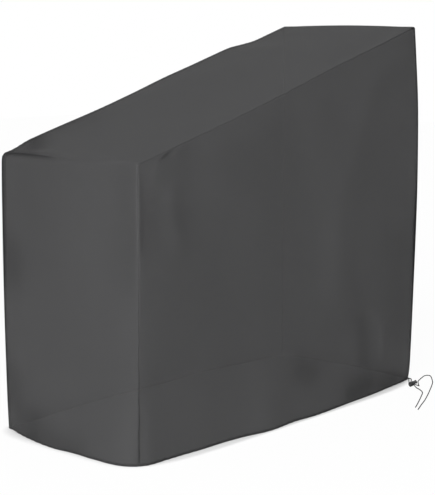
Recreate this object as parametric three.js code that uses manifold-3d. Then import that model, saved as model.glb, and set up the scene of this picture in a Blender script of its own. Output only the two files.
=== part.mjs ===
// A fitted see-through dust cover with a sloping top, cut in three panels: a strip that runs up the
// low end, over the top and down the high end, and two side panels. A drawcord leaves its hem.
// Millimetres. +X runs to the high end, -Y is the near side, +Z is up. Shapes are worked out above
// the floor, and the whole is set down at the end so that the origin lies under the top's middle.

import * as THREE from 'three';
import { mergeVertices } from 'three/addons/utils/BufferGeometryUtils.js';
import Module from 'manifold-3d';

const wasm = await Module();
wasm.setup();

// Driving sizes
const length = 1250;
const width = 533;
const lowHeight = 794;
const highHeight = 1156;
const seatHeight = 976; // where the top's middle rests on what the cover is put over
const clothThick = 2;
const hem = { thick: 5, height: 9, turn: 2 };
const foldRound = 14; // how far each soft fold of the strip is rounded along its two legs
const seamStandBack = 0.22; // of each panel's edge from the seam, 0.3 between the two
const cordGap = 6; // the hem stops this far short of the corner where the cord comes out

// Pieces that each panel's grid is divided into
const grid = { up: 20, along: 28, across: 12 };

const slope = Math.atan2(highHeight - lowHeight, length);
const topLength = Math.hypot(length, highHeight - lowHeight);

// How far each corner seam stands out of the plain box, by share of its height
const cornerBows = {
  nearLow: [
    { at: 0, alongX: 7, alongY: 3 },
    { at: 0.1, alongX: 8, alongY: 6 },
    { at: 0.5, alongX: 8, alongY: 7 },
    { at: 0.88, alongX: 4, alongY: 4 },
    { at: 1, alongX: 0, alongY: 0 },
  ],
  farLow: [
    { at: 0, alongX: 1.5, alongY: 1.5 },
    { at: 0.12, alongX: 3.2, alongY: 3.2 },
    { at: 0.45, alongX: 5.2, alongY: 5.2 },
    { at: 0.8, alongX: 4.6, alongY: 4.6 },
    { at: 0.97, alongX: 2.2, alongY: 2.2 },
    { at: 1, alongX: 0, alongY: 0 },
  ],
  nearHigh: [
    { at: 0, alongX: 2, alongY: 2 },
    { at: 0.04, alongX: 5, alongY: 5 },
    { at: 0.25, alongX: 9, alongY: 9 },
    { at: 0.5, alongX: 13, alongY: 13 },
    { at: 0.64, alongX: 13.2, alongY: 13.2 },
    { at: 0.79, alongX: 11, alongY: 11 },
    { at: 0.92, alongX: 4.5, alongY: 4.5 },
    { at: 1, alongX: 0, alongY: 0 },
  ],
  farHigh: [
    { at: 0, alongX: 3, alongY: 2 },
    { at: 0.3, alongX: 9, alongY: 8 },
    { at: 0.7, alongX: 12, alongY: 10 },
    { at: 0.93, alongX: 4, alongY: 4 },
    { at: 1, alongX: 0, alongY: 0 },
  ],
};

// How far the two top seams stand above the plain slope, by share of the way to the high end, how far
// they bow sideways, and how much higher the cloth is between them
const topSeams = [
  { at: 0, near: 4, far: -4, nearOut: 0, farOut: 0, crown: 1 },
  { at: 0.03, near: 3.5, far: 0.5, nearOut: 0.5, farOut: 0.5, crown: 1 },
  { at: 0.08, near: 2.5, far: 8, nearOut: 1, farOut: 1, crown: 1 },
  { at: 0.3, near: -1, far: 7, nearOut: 3, farOut: 3, crown: -2 },
  { at: 0.41, near: -1, far: 10, nearOut: 4, farOut: 4, crown: -3 },
  { at: 0.52, near: 0, far: 14.5, nearOut: 4, farOut: 4, crown: -3 },
  { at: 0.7, near: 3.5, far: 18, nearOut: 3, farOut: 3, crown: -1 },
  { at: 0.9, near: 1, far: 5, nearOut: 1, farOut: 1, crown: 5 },
  { at: 1, near: -4, far: 4, nearOut: 0, farOut: 0, crown: 7 },
];

// How far each hem is pushed out between its corners. Sides are read from the low end, ends from the
// near side.
const hemBulges = {
  near: [
    { at: 0, out: 0 },
    { at: 0.063, out: 9 },
    { at: 0.17, out: 17 },
    { at: 0.31, out: 27 },
    { at: 0.39, out: 45 },
    { at: 0.475, out: 36.5 },
    { at: 0.56, out: 43.5 },
    { at: 0.7, out: 32 },
    { at: 0.81, out: 25.5 },
    { at: 0.935, out: 10 },
    { at: 1, out: 0 },
  ],
  far: [
    { at: 0, out: 0 },
    { at: 0.1, out: 11 },
    { at: 0.26, out: 30 },
    { at: 0.4, out: 38 },
    { at: 0.52, out: 30 },
    { at: 0.66, out: 41 },
    { at: 0.82, out: 22 },
    { at: 1, out: 0 },
  ],
  low: [
    { at: 0, out: 0 },
    { at: 0.053, out: 24 },
    { at: 0.145, out: 36 },
    { at: 0.265, out: 34.5 },
    { at: 0.39, out: 34 },
    { at: 0.55, out: 45.5 },
    { at: 0.78, out: 28 },
    { at: 0.9, out: 13 },
    { at: 1, out: 0 },
  ],
  high: [
    { at: 0, out: 0 },
    { at: 0.2, out: 17 },
    { at: 0.5, out: 28 },
    { at: 0.75, out: 20 },
    { at: 1, out: 0 },
  ],
};
const flare = { reach: 450, power: 1.7 }; // a hem's bulge dies away up to this height

// How far each panel's middle stands out
const bellies = { near: 7, far: 9, low: 5, high: 12 };

// Main folds, a row each: two ends by share along and share up, half width, and height out of the
// panel (a trough where it is less than nothing)
const folds = {
  near: [
    { along: 0.95, up: 0.96, toAlong: 0.73, toUp: 0.77, half: 55, out: 7 },
    { along: 0.73, up: 0.77, toAlong: 0.655, toUp: 0.5, half: 60, out: 8 },
    { along: 0.85, up: 0.78, toAlong: 0.8, toUp: 0.55, half: 70, out: -5 },
    { along: 0.02, up: 0.95, toAlong: 0.1, toUp: 0.89, half: 45, out: 6 },
    { along: 0.05, up: 0.8, toAlong: 0.11, toUp: 0.76, half: 45, out: -6 },
    { along: 0.15, up: 0.82, toAlong: 0.13, toUp: 0.7, half: 40, out: 5 },
    { along: 0.84, up: 0.24, toAlong: 0.842, toUp: 0.12, half: 42, out: 5 },
    { along: 0.7, up: 0.25, toAlong: 0.69, toUp: 0.2, half: 60, out: -6 },
    { along: 0.54, up: 0.12, toAlong: 0.56, toUp: 0.1, half: 60, out: -5 },
  ],
  far: [
    { along: 0.1, up: 0.93, toAlong: 0.33, toUp: 0.62, half: 60, out: 7 },
    { along: 0.9, up: 0.9, toAlong: 0.7, toUp: 0.6, half: 60, out: 7 },
    { along: 0.45, up: 0.35, toAlong: 0.5, toUp: 0.12, half: 55, out: -6 },
    { along: 0.62, up: 0.8, toAlong: 0.5, toUp: 0.6, half: 70, out: -5 },
  ],
  low: [
    { along: 0.92, up: 0.64, toAlong: 0.9, toUp: 0.58, half: 45, out: -4 },
    { along: 0.92, up: 0.25, toAlong: 0.93, toUp: 0.2, half: 45, out: -4 },
    { along: 0.9, up: 0.11, toAlong: 0.6, toUp: 0.09, half: 32, out: 6 },
    { along: 0.95, up: 0.02, toAlong: 0.5, toUp: 0.035, half: 24, out: -6 },
    { along: 0.5, up: 0.06, toAlong: 0.28, toUp: 0.02, half: 30, out: 6 },
  ],
  high: [
    { along: 0.12, up: 0.9, toAlong: 0.4, toUp: 0.62, half: 55, out: 8 },
    { along: 0.85, up: 0.8, toAlong: 0.6, toUp: 0.5, half: 60, out: 6 },
    { along: 0.45, up: 0.3, toAlong: 0.55, toUp: 0.1, half: 55, out: -7 },
  ],
  top: [
    { along: 0.1, up: 0.95, toAlong: 0.05, toUp: 0.7, half: 42, out: -6 },
    { along: 0.3, up: 0.3, toAlong: 0.42, toUp: 0.6, half: 70, out: -4 },
    { along: 0.7, up: 0.62, toAlong: 0.86, toUp: 0.4, half: 60, out: 5 },
  ],
};

// A smooth value of one column of a table, at a place along it
function follow(table, column, at) {
  let row = 0;
  while (row < table.length - 2 && at > table[row + 1].at) row += 1;
  const steepness = (k) => {
    const before = table[Math.max(k - 1, 0)];
    const after = table[Math.min(k + 1, table.length - 1)];
    return (after[column] - before[column]) / (after.at - before.at);
  };
  const here = table[row];
  const next = table[row + 1];
  const span = next.at - here.at;
  const t = (at - here.at) / span;
  return (
    (1 + 2 * t) * (1 - t) ** 2 * here[column] +
    t * (1 - t) ** 2 * span * steepness(row) +
    t * t * (3 - 2 * t) * next[column] -
    t * t * (1 - t) * span * steepness(row + 1)
  );
}

const mix = (a, b, share) => a + (b - a) * share;
const arch = (share) => 4 * share * (1 - share);
const mixPoints = (a, b, share) => a.clone().lerp(b, share);

// The relief of a panel's folds. It dies away at the seams.
function foldRelief(rows, along, up, long, tall) {
  let relief = 0;
  for (const row of rows) {
    const start = new THREE.Vector2(row.along * long, row.up * tall);
    const run = new THREE.Vector2(row.toAlong * long, row.toUp * tall).sub(start);
    const place = new THREE.Vector2(along * long, up * tall).sub(start);
    const share = THREE.MathUtils.clamp(place.dot(run) / run.lengthSq(), 0, 1);
    const away = place.distanceTo(run.multiplyScalar(share));
    relief += row.out * Math.exp(-((away / row.half) ** 2));
  }
  const insideSeams = Math.min(1, 4 * arch(along)) * Math.min(1, 10 * (1 - up));
  return relief * insideSeams;
}

// How much of a hem's bulge is left at a height
const flareAt = (height) => Math.max(0, 1 - height / flare.reach) ** flare.power;

// Heights of a panel's rows where its top edge is this high
function rowHeights(top) {
  const start = hem.height + hem.turn;
  const heights = [0, hem.height];
  for (let i = 0; i <= grid.up; i += 1) {
    heights.push(mix(start, top - foldRound, i / grid.up));
  }
  heights.push(top);
  return heights;
}

// Shares of the way up the slope at which the columns of a side and the rows of the top stand
function columnShares() {
  const start = foldRound / topLength;
  const shares = [0];
  for (let i = 0; i <= grid.along; i += 1) {
    shares.push(mix(start, 1 - start, i / grid.along));
  }
  shares.push(1);
  return shares;
}

// The outward push of an end panel, by share of the way across from the near side
function endOut(end, up, across, height) {
  const near = follow(cornerBows[end === 'low' ? 'nearLow' : 'nearHigh'], 'alongX', up);
  const far = follow(cornerBows[end === 'low' ? 'farLow' : 'farHigh'], 'alongX', up);
  return (
    mix(near, far, across) +
    follow(hemBulges[end], 'out', across) * flareAt(height) +
    bellies[end] * arch(across) * arch(up) +
    foldRelief(folds[end], across, up, width, end === 'low' ? lowHeight : highHeight)
  );
}

// The lift of the top above the plain slope
function topLift(along, across) {
  const near = follow(topSeams, 'near', along);
  const far = follow(topSeams, 'far', along);
  return (
    mix(near, far, across) +
    follow(topSeams, 'crown', along) * arch(across) +
    foldRelief(folds.top, along, across, topLength, width) * Math.min(1, 10 * across)
  );
}

// The outward push of a side panel, by shares of the way to the high end and up
function sideOut(side, along, up, height) {
  const low = follow(cornerBows[`${side}Low`], 'alongY', up);
  const high = follow(cornerBows[`${side}High`], 'alongY', up);
  return (
    mix(low, high, along) +
    follow(topSeams, `${side}Out`, along) * up ** 6 +
    follow(hemBulges[side], 'out', along) * flareAt(height) +
    bellies[side] * arch(along) * arch(up) +
    foldRelief(folds[side], along, up, length, mix(lowHeight, highHeight, along))
  );
}

// How far a soft fold draws a point in, by its distance from the fold along a leg
const foldDraw = (away) => (foldRound / 4) * Math.max(0, 1 - away / foldRound) ** 2;

// The strip's path in stations, from the low hem over the top to the high hem. Each has its leg, its
// share of that leg, its place on the rounded box, and the way in from its face.
function stripStations() {
  const down = new THREE.Vector2(0, -1);
  const upSlope = new THREE.Vector2(Math.cos(slope), Math.sin(slope));
  const lowTurn = down.clone().add(upSlope);
  const highTurn = down.clone().sub(upSlope);
  const lowIn = new THREE.Vector2(1, 0);
  const highIn = new THREE.Vector2(-1, 0);
  const topIn = new THREE.Vector2(Math.sin(slope), -Math.cos(slope));
  const mitre = (a, b) => a.clone().add(b).divideScalar(1 + a.dot(b));
  const list = [];
  for (const height of rowHeights(lowHeight).slice(0, -1)) {
    const place = new THREE.Vector2(-length / 2, height);
    place.addScaledVector(lowTurn, foldDraw(lowHeight - height));
    list.push({ leg: 'low', share: height / lowHeight, height, place, inward: lowIn });
  }
  for (const share of columnShares()) {
    const height = mix(lowHeight, highHeight, share);
    const place = new THREE.Vector2(mix(-length / 2, length / 2, share), height);
    place.addScaledVector(lowTurn, foldDraw(share * topLength));
    place.addScaledVector(highTurn, foldDraw((1 - share) * topLength));
    let inward = topIn;
    if (share === 0) inward = mitre(lowIn, topIn);
    if (share === 1) inward = mitre(topIn, highIn);
    list.push({ leg: 'top', share, height, place, inward });
  }
  for (const height of rowHeights(highHeight).slice(0, -1).reverse()) {
    const place = new THREE.Vector2(length / 2, height);
    place.addScaledVector(highTurn, foldDraw(highHeight - height));
    list.push({ leg: 'high', share: height / highHeight, height, place, inward: highIn });
  }
  return list;
}

const inHem = (station) => station.leg !== 'top' && station.height <= hem.height;
const thickAt = (station) => (inHem(station) ? hem.thick : clothThick);

// A point of the strip's outer face
function stripPoint(station, across) {
  const { leg, share, height, place } = station;
  const point = new THREE.Vector3(place.x, 0, place.y);
  let nearY;
  let farY;
  if (leg === 'top') {
    point.z += topLift(share, across);
    nearY = follow(topSeams, 'nearOut', share);
    farY = follow(topSeams, 'farOut', share);
  } else {
    point.x += (leg === 'low' ? -1 : 1) * endOut(leg, share, across, height);
    nearY = follow(cornerBows[leg === 'low' ? 'nearLow' : 'nearHigh'], 'alongY', share);
    farY = follow(cornerBows[leg === 'low' ? 'farLow' : 'farHigh'], 'alongY', share);
  }
  point.y = mix(-width / 2 - nearY, width / 2 + farY, across);
  return point;
}

// A closed solid between an outer and an inner grid of points
function sheetSolid(outer, inner) {
  const rows = outer.length;
  const columns = outer[0].length;
  const points = [...outer.flat(), ...inner.flat()];
  const number = (row, column, face) => (face * rows + row) * columns + column;
  const triangles = [];
  const quad = (a, b, c, d) => triangles.push(a, b, c, a, c, d);
  for (let row = 0; row < rows - 1; row += 1) {
    for (let column = 0; column < columns - 1; column += 1) {
      const ring = [
        [row, column],
        [row, column + 1],
        [row + 1, column + 1],
        [row + 1, column],
      ];
      quad(...ring.map(([r, c]) => number(r, c, 0)));
      quad(...ring.reverse().map(([r, c]) => number(r, c, 1)));
    }
  }
  const rim = [];
  for (let column = 0; column < columns - 1; column += 1) rim.push([0, column]);
  for (let row = 0; row < rows - 1; row += 1) rim.push([row, columns - 1]);
  for (let column = columns - 1; column > 0; column -= 1) rim.push([rows - 1, column]);
  for (let row = rows - 1; row > 0; row -= 1) rim.push([row, 0]);
  rim.forEach(([row, column], i) => {
    const [nextRow, nextColumn] = rim[(i + 1) % rim.length];
    quad(
      number(row, column, 1),
      number(nextRow, nextColumn, 1),
      number(nextRow, nextColumn, 0),
      number(row, column, 0),
    );
  });
  let volume = 0;
  for (let i = 0; i < triangles.length; i += 3) {
    const [a, b, c] = [0, 1, 2].map((k) => points[triangles[i + k]]);
    volume += a.dot(b.clone().cross(c));
  }
  if (volume < 0) triangles.reverse();
  const geometry = new THREE.BufferGeometry();
  geometry.setAttribute(
    'position',
    new THREE.Float32BufferAttribute(points.flatMap((p) => p.toArray()), 3),
  );
  geometry.setIndex(triangles);
  return geometry;
}

// The strip: low end, top and high end in one length of cloth
function stripGeometry() {
  const outer = [];
  const inner = [];
  for (const station of stripStations()) {
    const thick = thickAt(station);
    const inward = new THREE.Vector3(station.inward.x, 0, station.inward.y);
    const outerRow = [];
    const innerRow = [];
    for (let i = 0; i <= grid.across; i += 1) {
      const point = stripPoint(station, i / grid.across);
      const edge = i === 0 ? 1 : i === grid.across ? -1 : 0;
      point.y += edge * seamStandBack;
      if (i === 0 && station.leg === 'high' && inHem(station)) point.y += cordGap;
      outerRow.push(point);
      const inside = point.clone().addScaledVector(inward, thick);
      inside.y += edge * thick;
      innerRow.push(inside);
    }
    outer.push(outerRow);
    inner.push(innerRow);
  }
  return sheetSolid(outer, inner);
}

// A side panel. Its grid fills the outline that the strip's edge gives it.
function sideGeometry(side) {
  const across = side === 'near' ? 0 : 1;
  const outward = side === 'near' ? -1 : 1;
  const stations = stripStations();
  const rowCount = rowHeights(lowHeight).length;
  const shares = columnShares();
  const lowEdge = stations.slice(0, rowCount);
  const highEdge = stations.slice(-rowCount).reverse();
  const topEdge = stations.slice(rowCount - 1, rowCount - 1 + shares.length);
  const flat = (station) => stripPoint(station, across).setY(0);
  const edgeFoot = [flat(lowEdge[0]), flat(highEdge[0])];
  const edgeHead = [flat(lowEdge[rowCount - 1]), flat(highEdge[rowCount - 1])];
  const outer = [];
  const inner = [];
  for (let row = 0; row < rowCount; row += 1) {
    const outerRow = [];
    const innerRow = [];
    shares.forEach((share, column) => {
      const top = mix(lowHeight, highHeight, share);
      const height = rowHeights(top)[row];
      const up = height / top;
      const point = mixPoints(flat(lowEdge[row]), flat(highEdge[row]), share);
      point.add(mixPoints(mixPoints(...edgeFoot, share), flat(topEdge[column]), up));
      point.sub(mixPoints(mixPoints(...edgeFoot, share), mixPoints(...edgeHead, share), up));
      point.y = outward * (width / 2 + sideOut(side, share, up, height));
      let border = null;
      if (row === rowCount - 1) border = topEdge[column];
      else if (column === 0) border = lowEdge[row];
      else if (column === shares.length - 1) border = highEdge[row];
      const thick = row < 2 ? hem.thick : clothThick;
      const inside = new THREE.Vector3(0, -outward * thick, 0);
      if (border) {
        const inward = new THREE.Vector3(border.inward.x, 0, border.inward.y);
        point.addScaledVector(inward, seamStandBack);
        inside.addScaledVector(inward, thick);
      }
      if (side === 'near' && row < 2 && border === highEdge[row]) point.x -= cordGap;
      outerRow.push(point);
      innerRow.push(point.clone().add(inside));
    });
    outer.push(outerRow);
    inner.push(innerRow);
  }
  return sheetSolid(outer, inner);
}

// A path whose steps follow the route's own points, so that they are short where those are close
class RoutePath extends THREE.CatmullRomCurve3 {
  getUtoTmapping(share) {
    return share;
  }
}

const cord = { thick: 3, sides: 8, shortSteps: 32, longSteps: 48 };

// Where the middle of each free cord end runs, above the floor. It leaves the open hem at the near
// high corner, goes through the lock, and lies on the floor.
const shortRoute = [
  [621.1, -266, 3],
  [626.6, -266.6, 2.9],
  [631.2, -269.6, 2.6],
  [632.4, -275.2, 2.2],
  [629.2, -281, 1.8],
  [620.5, -287, 1.6],
  [607.5, -295, 1.5],
  [592, -303.8, 1.5],
  [578, -311.7, 2.4],
  [566.8, -318, 5],
  [560.2, -322.7, 7.9],
  [557, -326.8, 8.7],
  [552.5, -335.8, 8.7],
  [548.5, -343.8, 8.7],
  [546.6, -348.6, 6.9],
  [545.6, -353.4, 3.6],
  [544.2, -358.5, 1.7],
  [539.5, -367.5, 1.5],
  [523.6, -389.3, 1.5],
  [505.9, -405.4, 1.5],
  [476.6, -421.2, 1.5],
  [427.1, -446.1, 1.5],
  [367.2, -475.2, 1.5],
  [342.8, -486.2, 1.5],
];
const longRoute = [
  [624.5, -262.6, 6.6],
  [624.3, -268.6, 6.5],
  [621.4, -275, 6],
  [614.6, -281, 4.7],
  [604.5, -288.3, 2.7],
  [592, -297, 1.7],
  [579, -305.8, 2.2],
  [567.4, -313.2, 5.8],
  [560, -319, 10],
  [556, -326.3, 11.8],
  [551.5, -335.3, 11.8],
  [547.5, -343.3, 11.8],
  [547, -348.9, 11.1],
  [549.8, -353.8, 9.5],
  [555.2, -356.3, 7.3],
  [561.3, -355.7, 5.1],
  [567.6, -352.3, 3.3],
  [576, -345.8, 2],
  [587.5, -336.6, 1.5],
  [604, -324.6, 1.5],
  [623.9, -311.8, 1.5],
  [660.9, -298.4, 1.5],
  [690, -289.3, 1.5],
  [702.5, -287.4, 1.5],
  [711.5, -290.7, 1.5],
  [713, -298.8, 1.5],
  [705.5, -308, 1.5],
  [674.8, -332.4, 1.5],
  [644, -354.5, 1.5],
  [601.6, -378.3, 1.5],
  [561.2, -399, 1.5],
  [502.9, -428.3, 1.5],
  [431.5, -462, 1.5],
  [379.4, -483.6, 1.5],
  [325.8, -506.7, 1.5],
];

function cordGeometry(route, steps) {
  const path = new RoutePath(route.map((point) => new THREE.Vector3(...point)));
  const section = new THREE.Shape();
  for (let i = 0; i < cord.sides; i += 1) {
    const turn = (i / cord.sides) * 2 * Math.PI;
    const place = [Math.cos(turn), Math.sin(turn)].map((part) => (part * cord.thick) / 2);
    if (i === 0) section.moveTo(...place);
    else section.lineTo(...place);
  }
  return new THREE.ExtrudeGeometry(section, { steps, extrudePath: path });
}

// The cord lock, along its own axis from the barrel's closed end. The button's sizes are at rest, with
// the spring pushing it out, and press is how far it goes in.
const lock = {
  barrel: { radius: 7, long: 18, chamfer: 1 },
  bore: { radius: 5.3, floor: 2 },
  slot: { wide: 7.2, long: 7, start: 5.5 },
  stem: { radius: 5, start: 5.7 },
  press: 3.4,
  clear: 0.3,
  head: { radius: 6, long: 6, round: 1.5 },
  segments: 24,
};

// Where the lock leans on the floor: the middle of its closed end, and the way its axis points
const lockPlace = {
  base: new THREE.Vector3(543, -331.1, 6.6),
  turn: THREE.MathUtils.degToRad(-26.35),
  tilt: THREE.MathUtils.degToRad(20.5),
};

function turned(profile) {
  const points = profile.map(([radius, along]) => new THREE.Vector2(radius, along));
  return new THREE.LatheGeometry(points, lock.segments).rotateX(Math.PI / 2);
}

function toSolid(geometry) {
  const bare = geometry.clone();
  bare.deleteAttribute('normal');
  bare.deleteAttribute('uv');
  const merged = mergeVertices(bare);
  return new wasm.Manifold(
    new wasm.Mesh({
      numProp: 3,
      vertProperties: new Float32Array(merged.attributes.position.array),
      triVerts: new Uint32Array(merged.index.array),
    }),
  );
}

function toGeometry(solid) {
  const mesh = solid.getMesh();
  const geometry = new THREE.BufferGeometry();
  geometry.setAttribute('position', new THREE.BufferAttribute(mesh.vertProperties, 3));
  geometry.setIndex(new THREE.BufferAttribute(mesh.triVerts, 1));
  return geometry;
}

// The cross slot's cutter, where the slot starts at this place along the axis
function slotCutter(start) {
  const through = 4 * lock.barrel.radius;
  const cutter = new THREE.BoxGeometry(through, lock.slot.wide, lock.slot.long);
  return toSolid(cutter.translate(0, 0, start + lock.slot.long / 2));
}

function barrelGeometry() {
  const { radius, long, chamfer } = lock.barrel;
  const body = turned([
    [0, 0],
    [radius - chamfer, 0],
    [radius, chamfer],
    [radius, long - chamfer],
    [radius - chamfer / 2, long],
    [lock.bore.radius, long],
    [lock.bore.radius, lock.bore.floor],
    [0, lock.bore.floor],
  ]);
  return toGeometry(toSolid(body).subtract(slotCutter(lock.slot.start)));
}

function buttonGeometry() {
  const { radius, long, round } = lock.head;
  const neck = lock.barrel.long + lock.press + lock.clear;
  const body = turned([
    [0, lock.stem.start],
    [lock.stem.radius, lock.stem.start],
    [lock.stem.radius, neck],
    [radius - round / 2, neck],
    [radius, neck + round],
    [radius, neck + long - round],
    [radius - round / 2, neck + long - round / 3],
    [radius - 1.5 * round, neck + long],
    [0, neck + long],
  ]);
  return toGeometry(toSolid(body).subtract(slotCutter(lock.slot.start + lock.press)));
}

const materials = {
  cloth: { color: 0x3a3a3c, roughness: 0.72, metalness: 0 },
  cord: { color: 0x1c1c1d, roughness: 0.85, metalness: 0 },
  plastic: { color: 0x121213, roughness: 0.45, metalness: 0 },
};

function piece(name, geometry, material) {
  const mesh = new THREE.Mesh(geometry, new THREE.MeshStandardMaterial(materials[material]));
  mesh.name = name;
  return mesh;
}

const cover = new THREE.Group();
cover.add(piece('strip_panel', stripGeometry(), 'cloth'));
cover.add(piece('near_panel', sideGeometry('near'), 'cloth'));
cover.add(piece('far_panel', sideGeometry('far'), 'cloth'));
cover.add(piece('cord_short', cordGeometry(shortRoute, cord.shortSteps), 'cord'));
cover.add(piece('cord_long', cordGeometry(longRoute, cord.longSteps), 'cord'));

const leaning = new THREE.Group();
const axis = new THREE.Vector3(
  Math.cos(lockPlace.turn) * Math.cos(lockPlace.tilt),
  Math.sin(lockPlace.turn) * Math.cos(lockPlace.tilt),
  Math.sin(lockPlace.tilt),
);
const hole = new THREE.Vector3(Math.sin(lockPlace.turn), -Math.cos(lockPlace.turn), 0);
const basis = new THREE.Matrix4().makeBasis(hole, axis.clone().cross(hole), axis);
leaning.quaternion.setFromRotationMatrix(basis);
leaning.position.copy(lockPlace.base);
leaning.add(piece('lock_barrel', barrelGeometry(), 'plastic'));
leaning.add(piece('lock_button', buttonGeometry(), 'plastic'));
cover.add(leaning);

cover.position.z = -seatHeight;

export default cover;
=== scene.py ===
import math

import bpy
import numpy as np
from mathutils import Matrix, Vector


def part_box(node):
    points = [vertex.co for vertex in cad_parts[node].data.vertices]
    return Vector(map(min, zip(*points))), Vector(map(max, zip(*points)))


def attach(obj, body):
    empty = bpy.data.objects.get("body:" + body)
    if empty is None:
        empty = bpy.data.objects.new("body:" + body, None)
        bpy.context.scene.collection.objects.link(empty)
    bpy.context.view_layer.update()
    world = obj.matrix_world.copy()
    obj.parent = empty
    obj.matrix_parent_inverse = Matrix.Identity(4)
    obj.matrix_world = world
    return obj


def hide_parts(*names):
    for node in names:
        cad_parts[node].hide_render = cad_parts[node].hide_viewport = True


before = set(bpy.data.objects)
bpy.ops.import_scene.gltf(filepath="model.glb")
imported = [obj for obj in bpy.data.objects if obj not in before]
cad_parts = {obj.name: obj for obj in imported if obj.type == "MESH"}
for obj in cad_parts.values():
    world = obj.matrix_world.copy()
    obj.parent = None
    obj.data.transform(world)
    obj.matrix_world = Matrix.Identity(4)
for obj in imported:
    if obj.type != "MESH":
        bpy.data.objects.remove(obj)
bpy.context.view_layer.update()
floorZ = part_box("near_panel")[0].z  # where the hem stands
print("frame loaded, floor at", round(floorZ, 3))


# Camera, at the viewing angle of the photograph

camera = {
    "azimuth": -48.28,  # degrees, from -Y towards +X
    "elevation": 8.443,
    "distance": 4.069,  # from the aim point
    "aim": (-0.020, 0.0, floorZ + 0.487),
    "lens": 97.36,  # mm, for a sensor of 36 mm along the longer side of the picture
}


def makeCamera(settings):
    turn, rise = math.radians(settings["azimuth"]), math.radians(settings["elevation"])
    back = Vector((math.sin(turn) * math.cos(rise), -math.cos(turn) * math.cos(rise), math.sin(rise)))
    data = bpy.data.cameras.new("camera")
    data.lens = settings["lens"]
    data.sensor_width = 36
    data.clip_end = 60
    item = bpy.data.objects.new("camera", data)
    item.location = Vector(settings["aim"]) + back * settings["distance"]
    item.rotation_euler = (-back).to_track_quat("-Z", "Y").to_euler()
    bpy.context.scene.collection.objects.link(item)
    bpy.context.scene.camera = item


makeCamera(camera)
print("camera placed")


# Meshes from arrays of points

def unit(vectors):
    return vectors / np.linalg.norm(vectors, axis=-1, keepdims=True)


def makePiece(name, points, faces, uvs, shade=None):
    # uvs, and the painted shade and light (with the seams' own darkness) that the cloth's material reads,
    # hold a value for each point
    mesh = bpy.data.meshes.new(name)
    mesh.from_pydata([tuple(p) for p in points], [], [tuple(int(i) for i in f) for f in faces])
    mesh.validate()
    layer = mesh.uv_layers.new(name="clothUV")
    corners = np.empty(len(mesh.loops), np.int32)
    mesh.loops.foreach_get("vertex_index", corners)
    layer.data.foreach_set("uv", np.asarray(uvs, np.float32)[corners].ravel())
    if shade is not None:
        values = mesh.attributes.new("seamsAndPaintedShading", "FLOAT", "POINT").data
        values.foreach_set("value", np.asarray(shade, np.float32))
    mesh.polygons.foreach_set("use_smooth", [True] * len(mesh.polygons))
    item = bpy.data.objects.new(name, mesh)
    bpy.context.scene.collection.objects.link(item)
    return item


def gridFaces(rows, columns, closed=False, first=0):
    # quads of a grid of points whose columns run fastest
    r, c = np.meshgrid(np.arange(rows - 1), np.arange(columns if closed else columns - 1), indexing="ij")
    here, ahead = first + r * columns + c, first + r * columns + (c + 1) % columns
    return np.stack([here, ahead, ahead + columns, here + columns], -1).reshape(-1, 4)


def tubeFaces(rings, around, first=0):
    # a tube of that many rings, and its two ends, each closed on a point that follows the rings
    last = first + rings * around
    faces = [tuple(f) for f in gridFaces(rings, around, closed=True, first=first)]
    faces += [(last, first + (k + 1) % around, first + k) for k in range(around)]
    faces += [(last + 1, last - around + k, last - around + (k + 1) % around) for k in range(around)]
    return faces


def makeTube(name, rings, middle, aroundAt, alongAt):
    # a tube of rings that is closed at both ends, with where its points lie around and along it
    points = np.vstack([rings.reshape(-1, 3), middle[:1], middle[-1:]])
    uvs = np.stack(np.broadcast_arrays(aroundAt, alongAt), -1).reshape(-1, 2)
    uvs = np.vstack([uvs, [[0, 0], [0, uvs[-1, 1]]]])
    return makePiece(name, points, tubeFaces(*rings.shape[:2]), uvs)


def runAlong(places):
    return np.concatenate([[0], np.cumsum(np.linalg.norm(np.diff(places, axis=0), axis=1))])


def spreadOut(marks, run, *lines):
    # each line's values at other marks along the run
    return [np.stack([np.interp(marks, run, line[:, k]) for k in range(3)], -1) for line in lines]


# Cords: the middle of each free end, in metres above the floor, from the hem through the lock

cordLook = {
    "diameter": 0.003,
    "sides": 18,
    "step": 0.0006,  # between the rings of the tube
    "strands": 8,  # of the braid, each way
    "lay": 0.0105,  # along the cord for one turn of a strand
    "relief": 0.00012,  # of the strands
    "mean": 0.6,  # how high the strands stand on average, as a share of that
    "tip": 0.02,  # how thin it ends, as a share of its section
}
shortRoute = [
    (0.6211, -0.266, 0.003), (0.6266, -0.2666, 0.0029), (0.6312, -0.2696, 0.0026),
    (0.6324, -0.2752, 0.0022), (0.6292, -0.281, 0.0018), (0.6205, -0.287, 0.0016),
    (0.6075, -0.295, 0.0015), (0.592, -0.3038, 0.0015), (0.578, -0.3117, 0.0024), (0.5668, -0.318, 0.005),
    (0.5602, -0.3227, 0.0079), (0.557, -0.3268, 0.0087), (0.5525, -0.3358, 0.0087),
    (0.5485, -0.3438, 0.0087), (0.5466, -0.3486, 0.0069), (0.5456, -0.3534, 0.0036),
    (0.5442, -0.3585, 0.0017), (0.5395, -0.3675, 0.0015), (0.5236, -0.3893, 0.0015),
    (0.5059, -0.4054, 0.0015), (0.4766, -0.4212, 0.0015), (0.4271, -0.4461, 0.0015),
    (0.3672, -0.4752, 0.0015), (0.3428, -0.4862, 0.0015),
]
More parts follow.
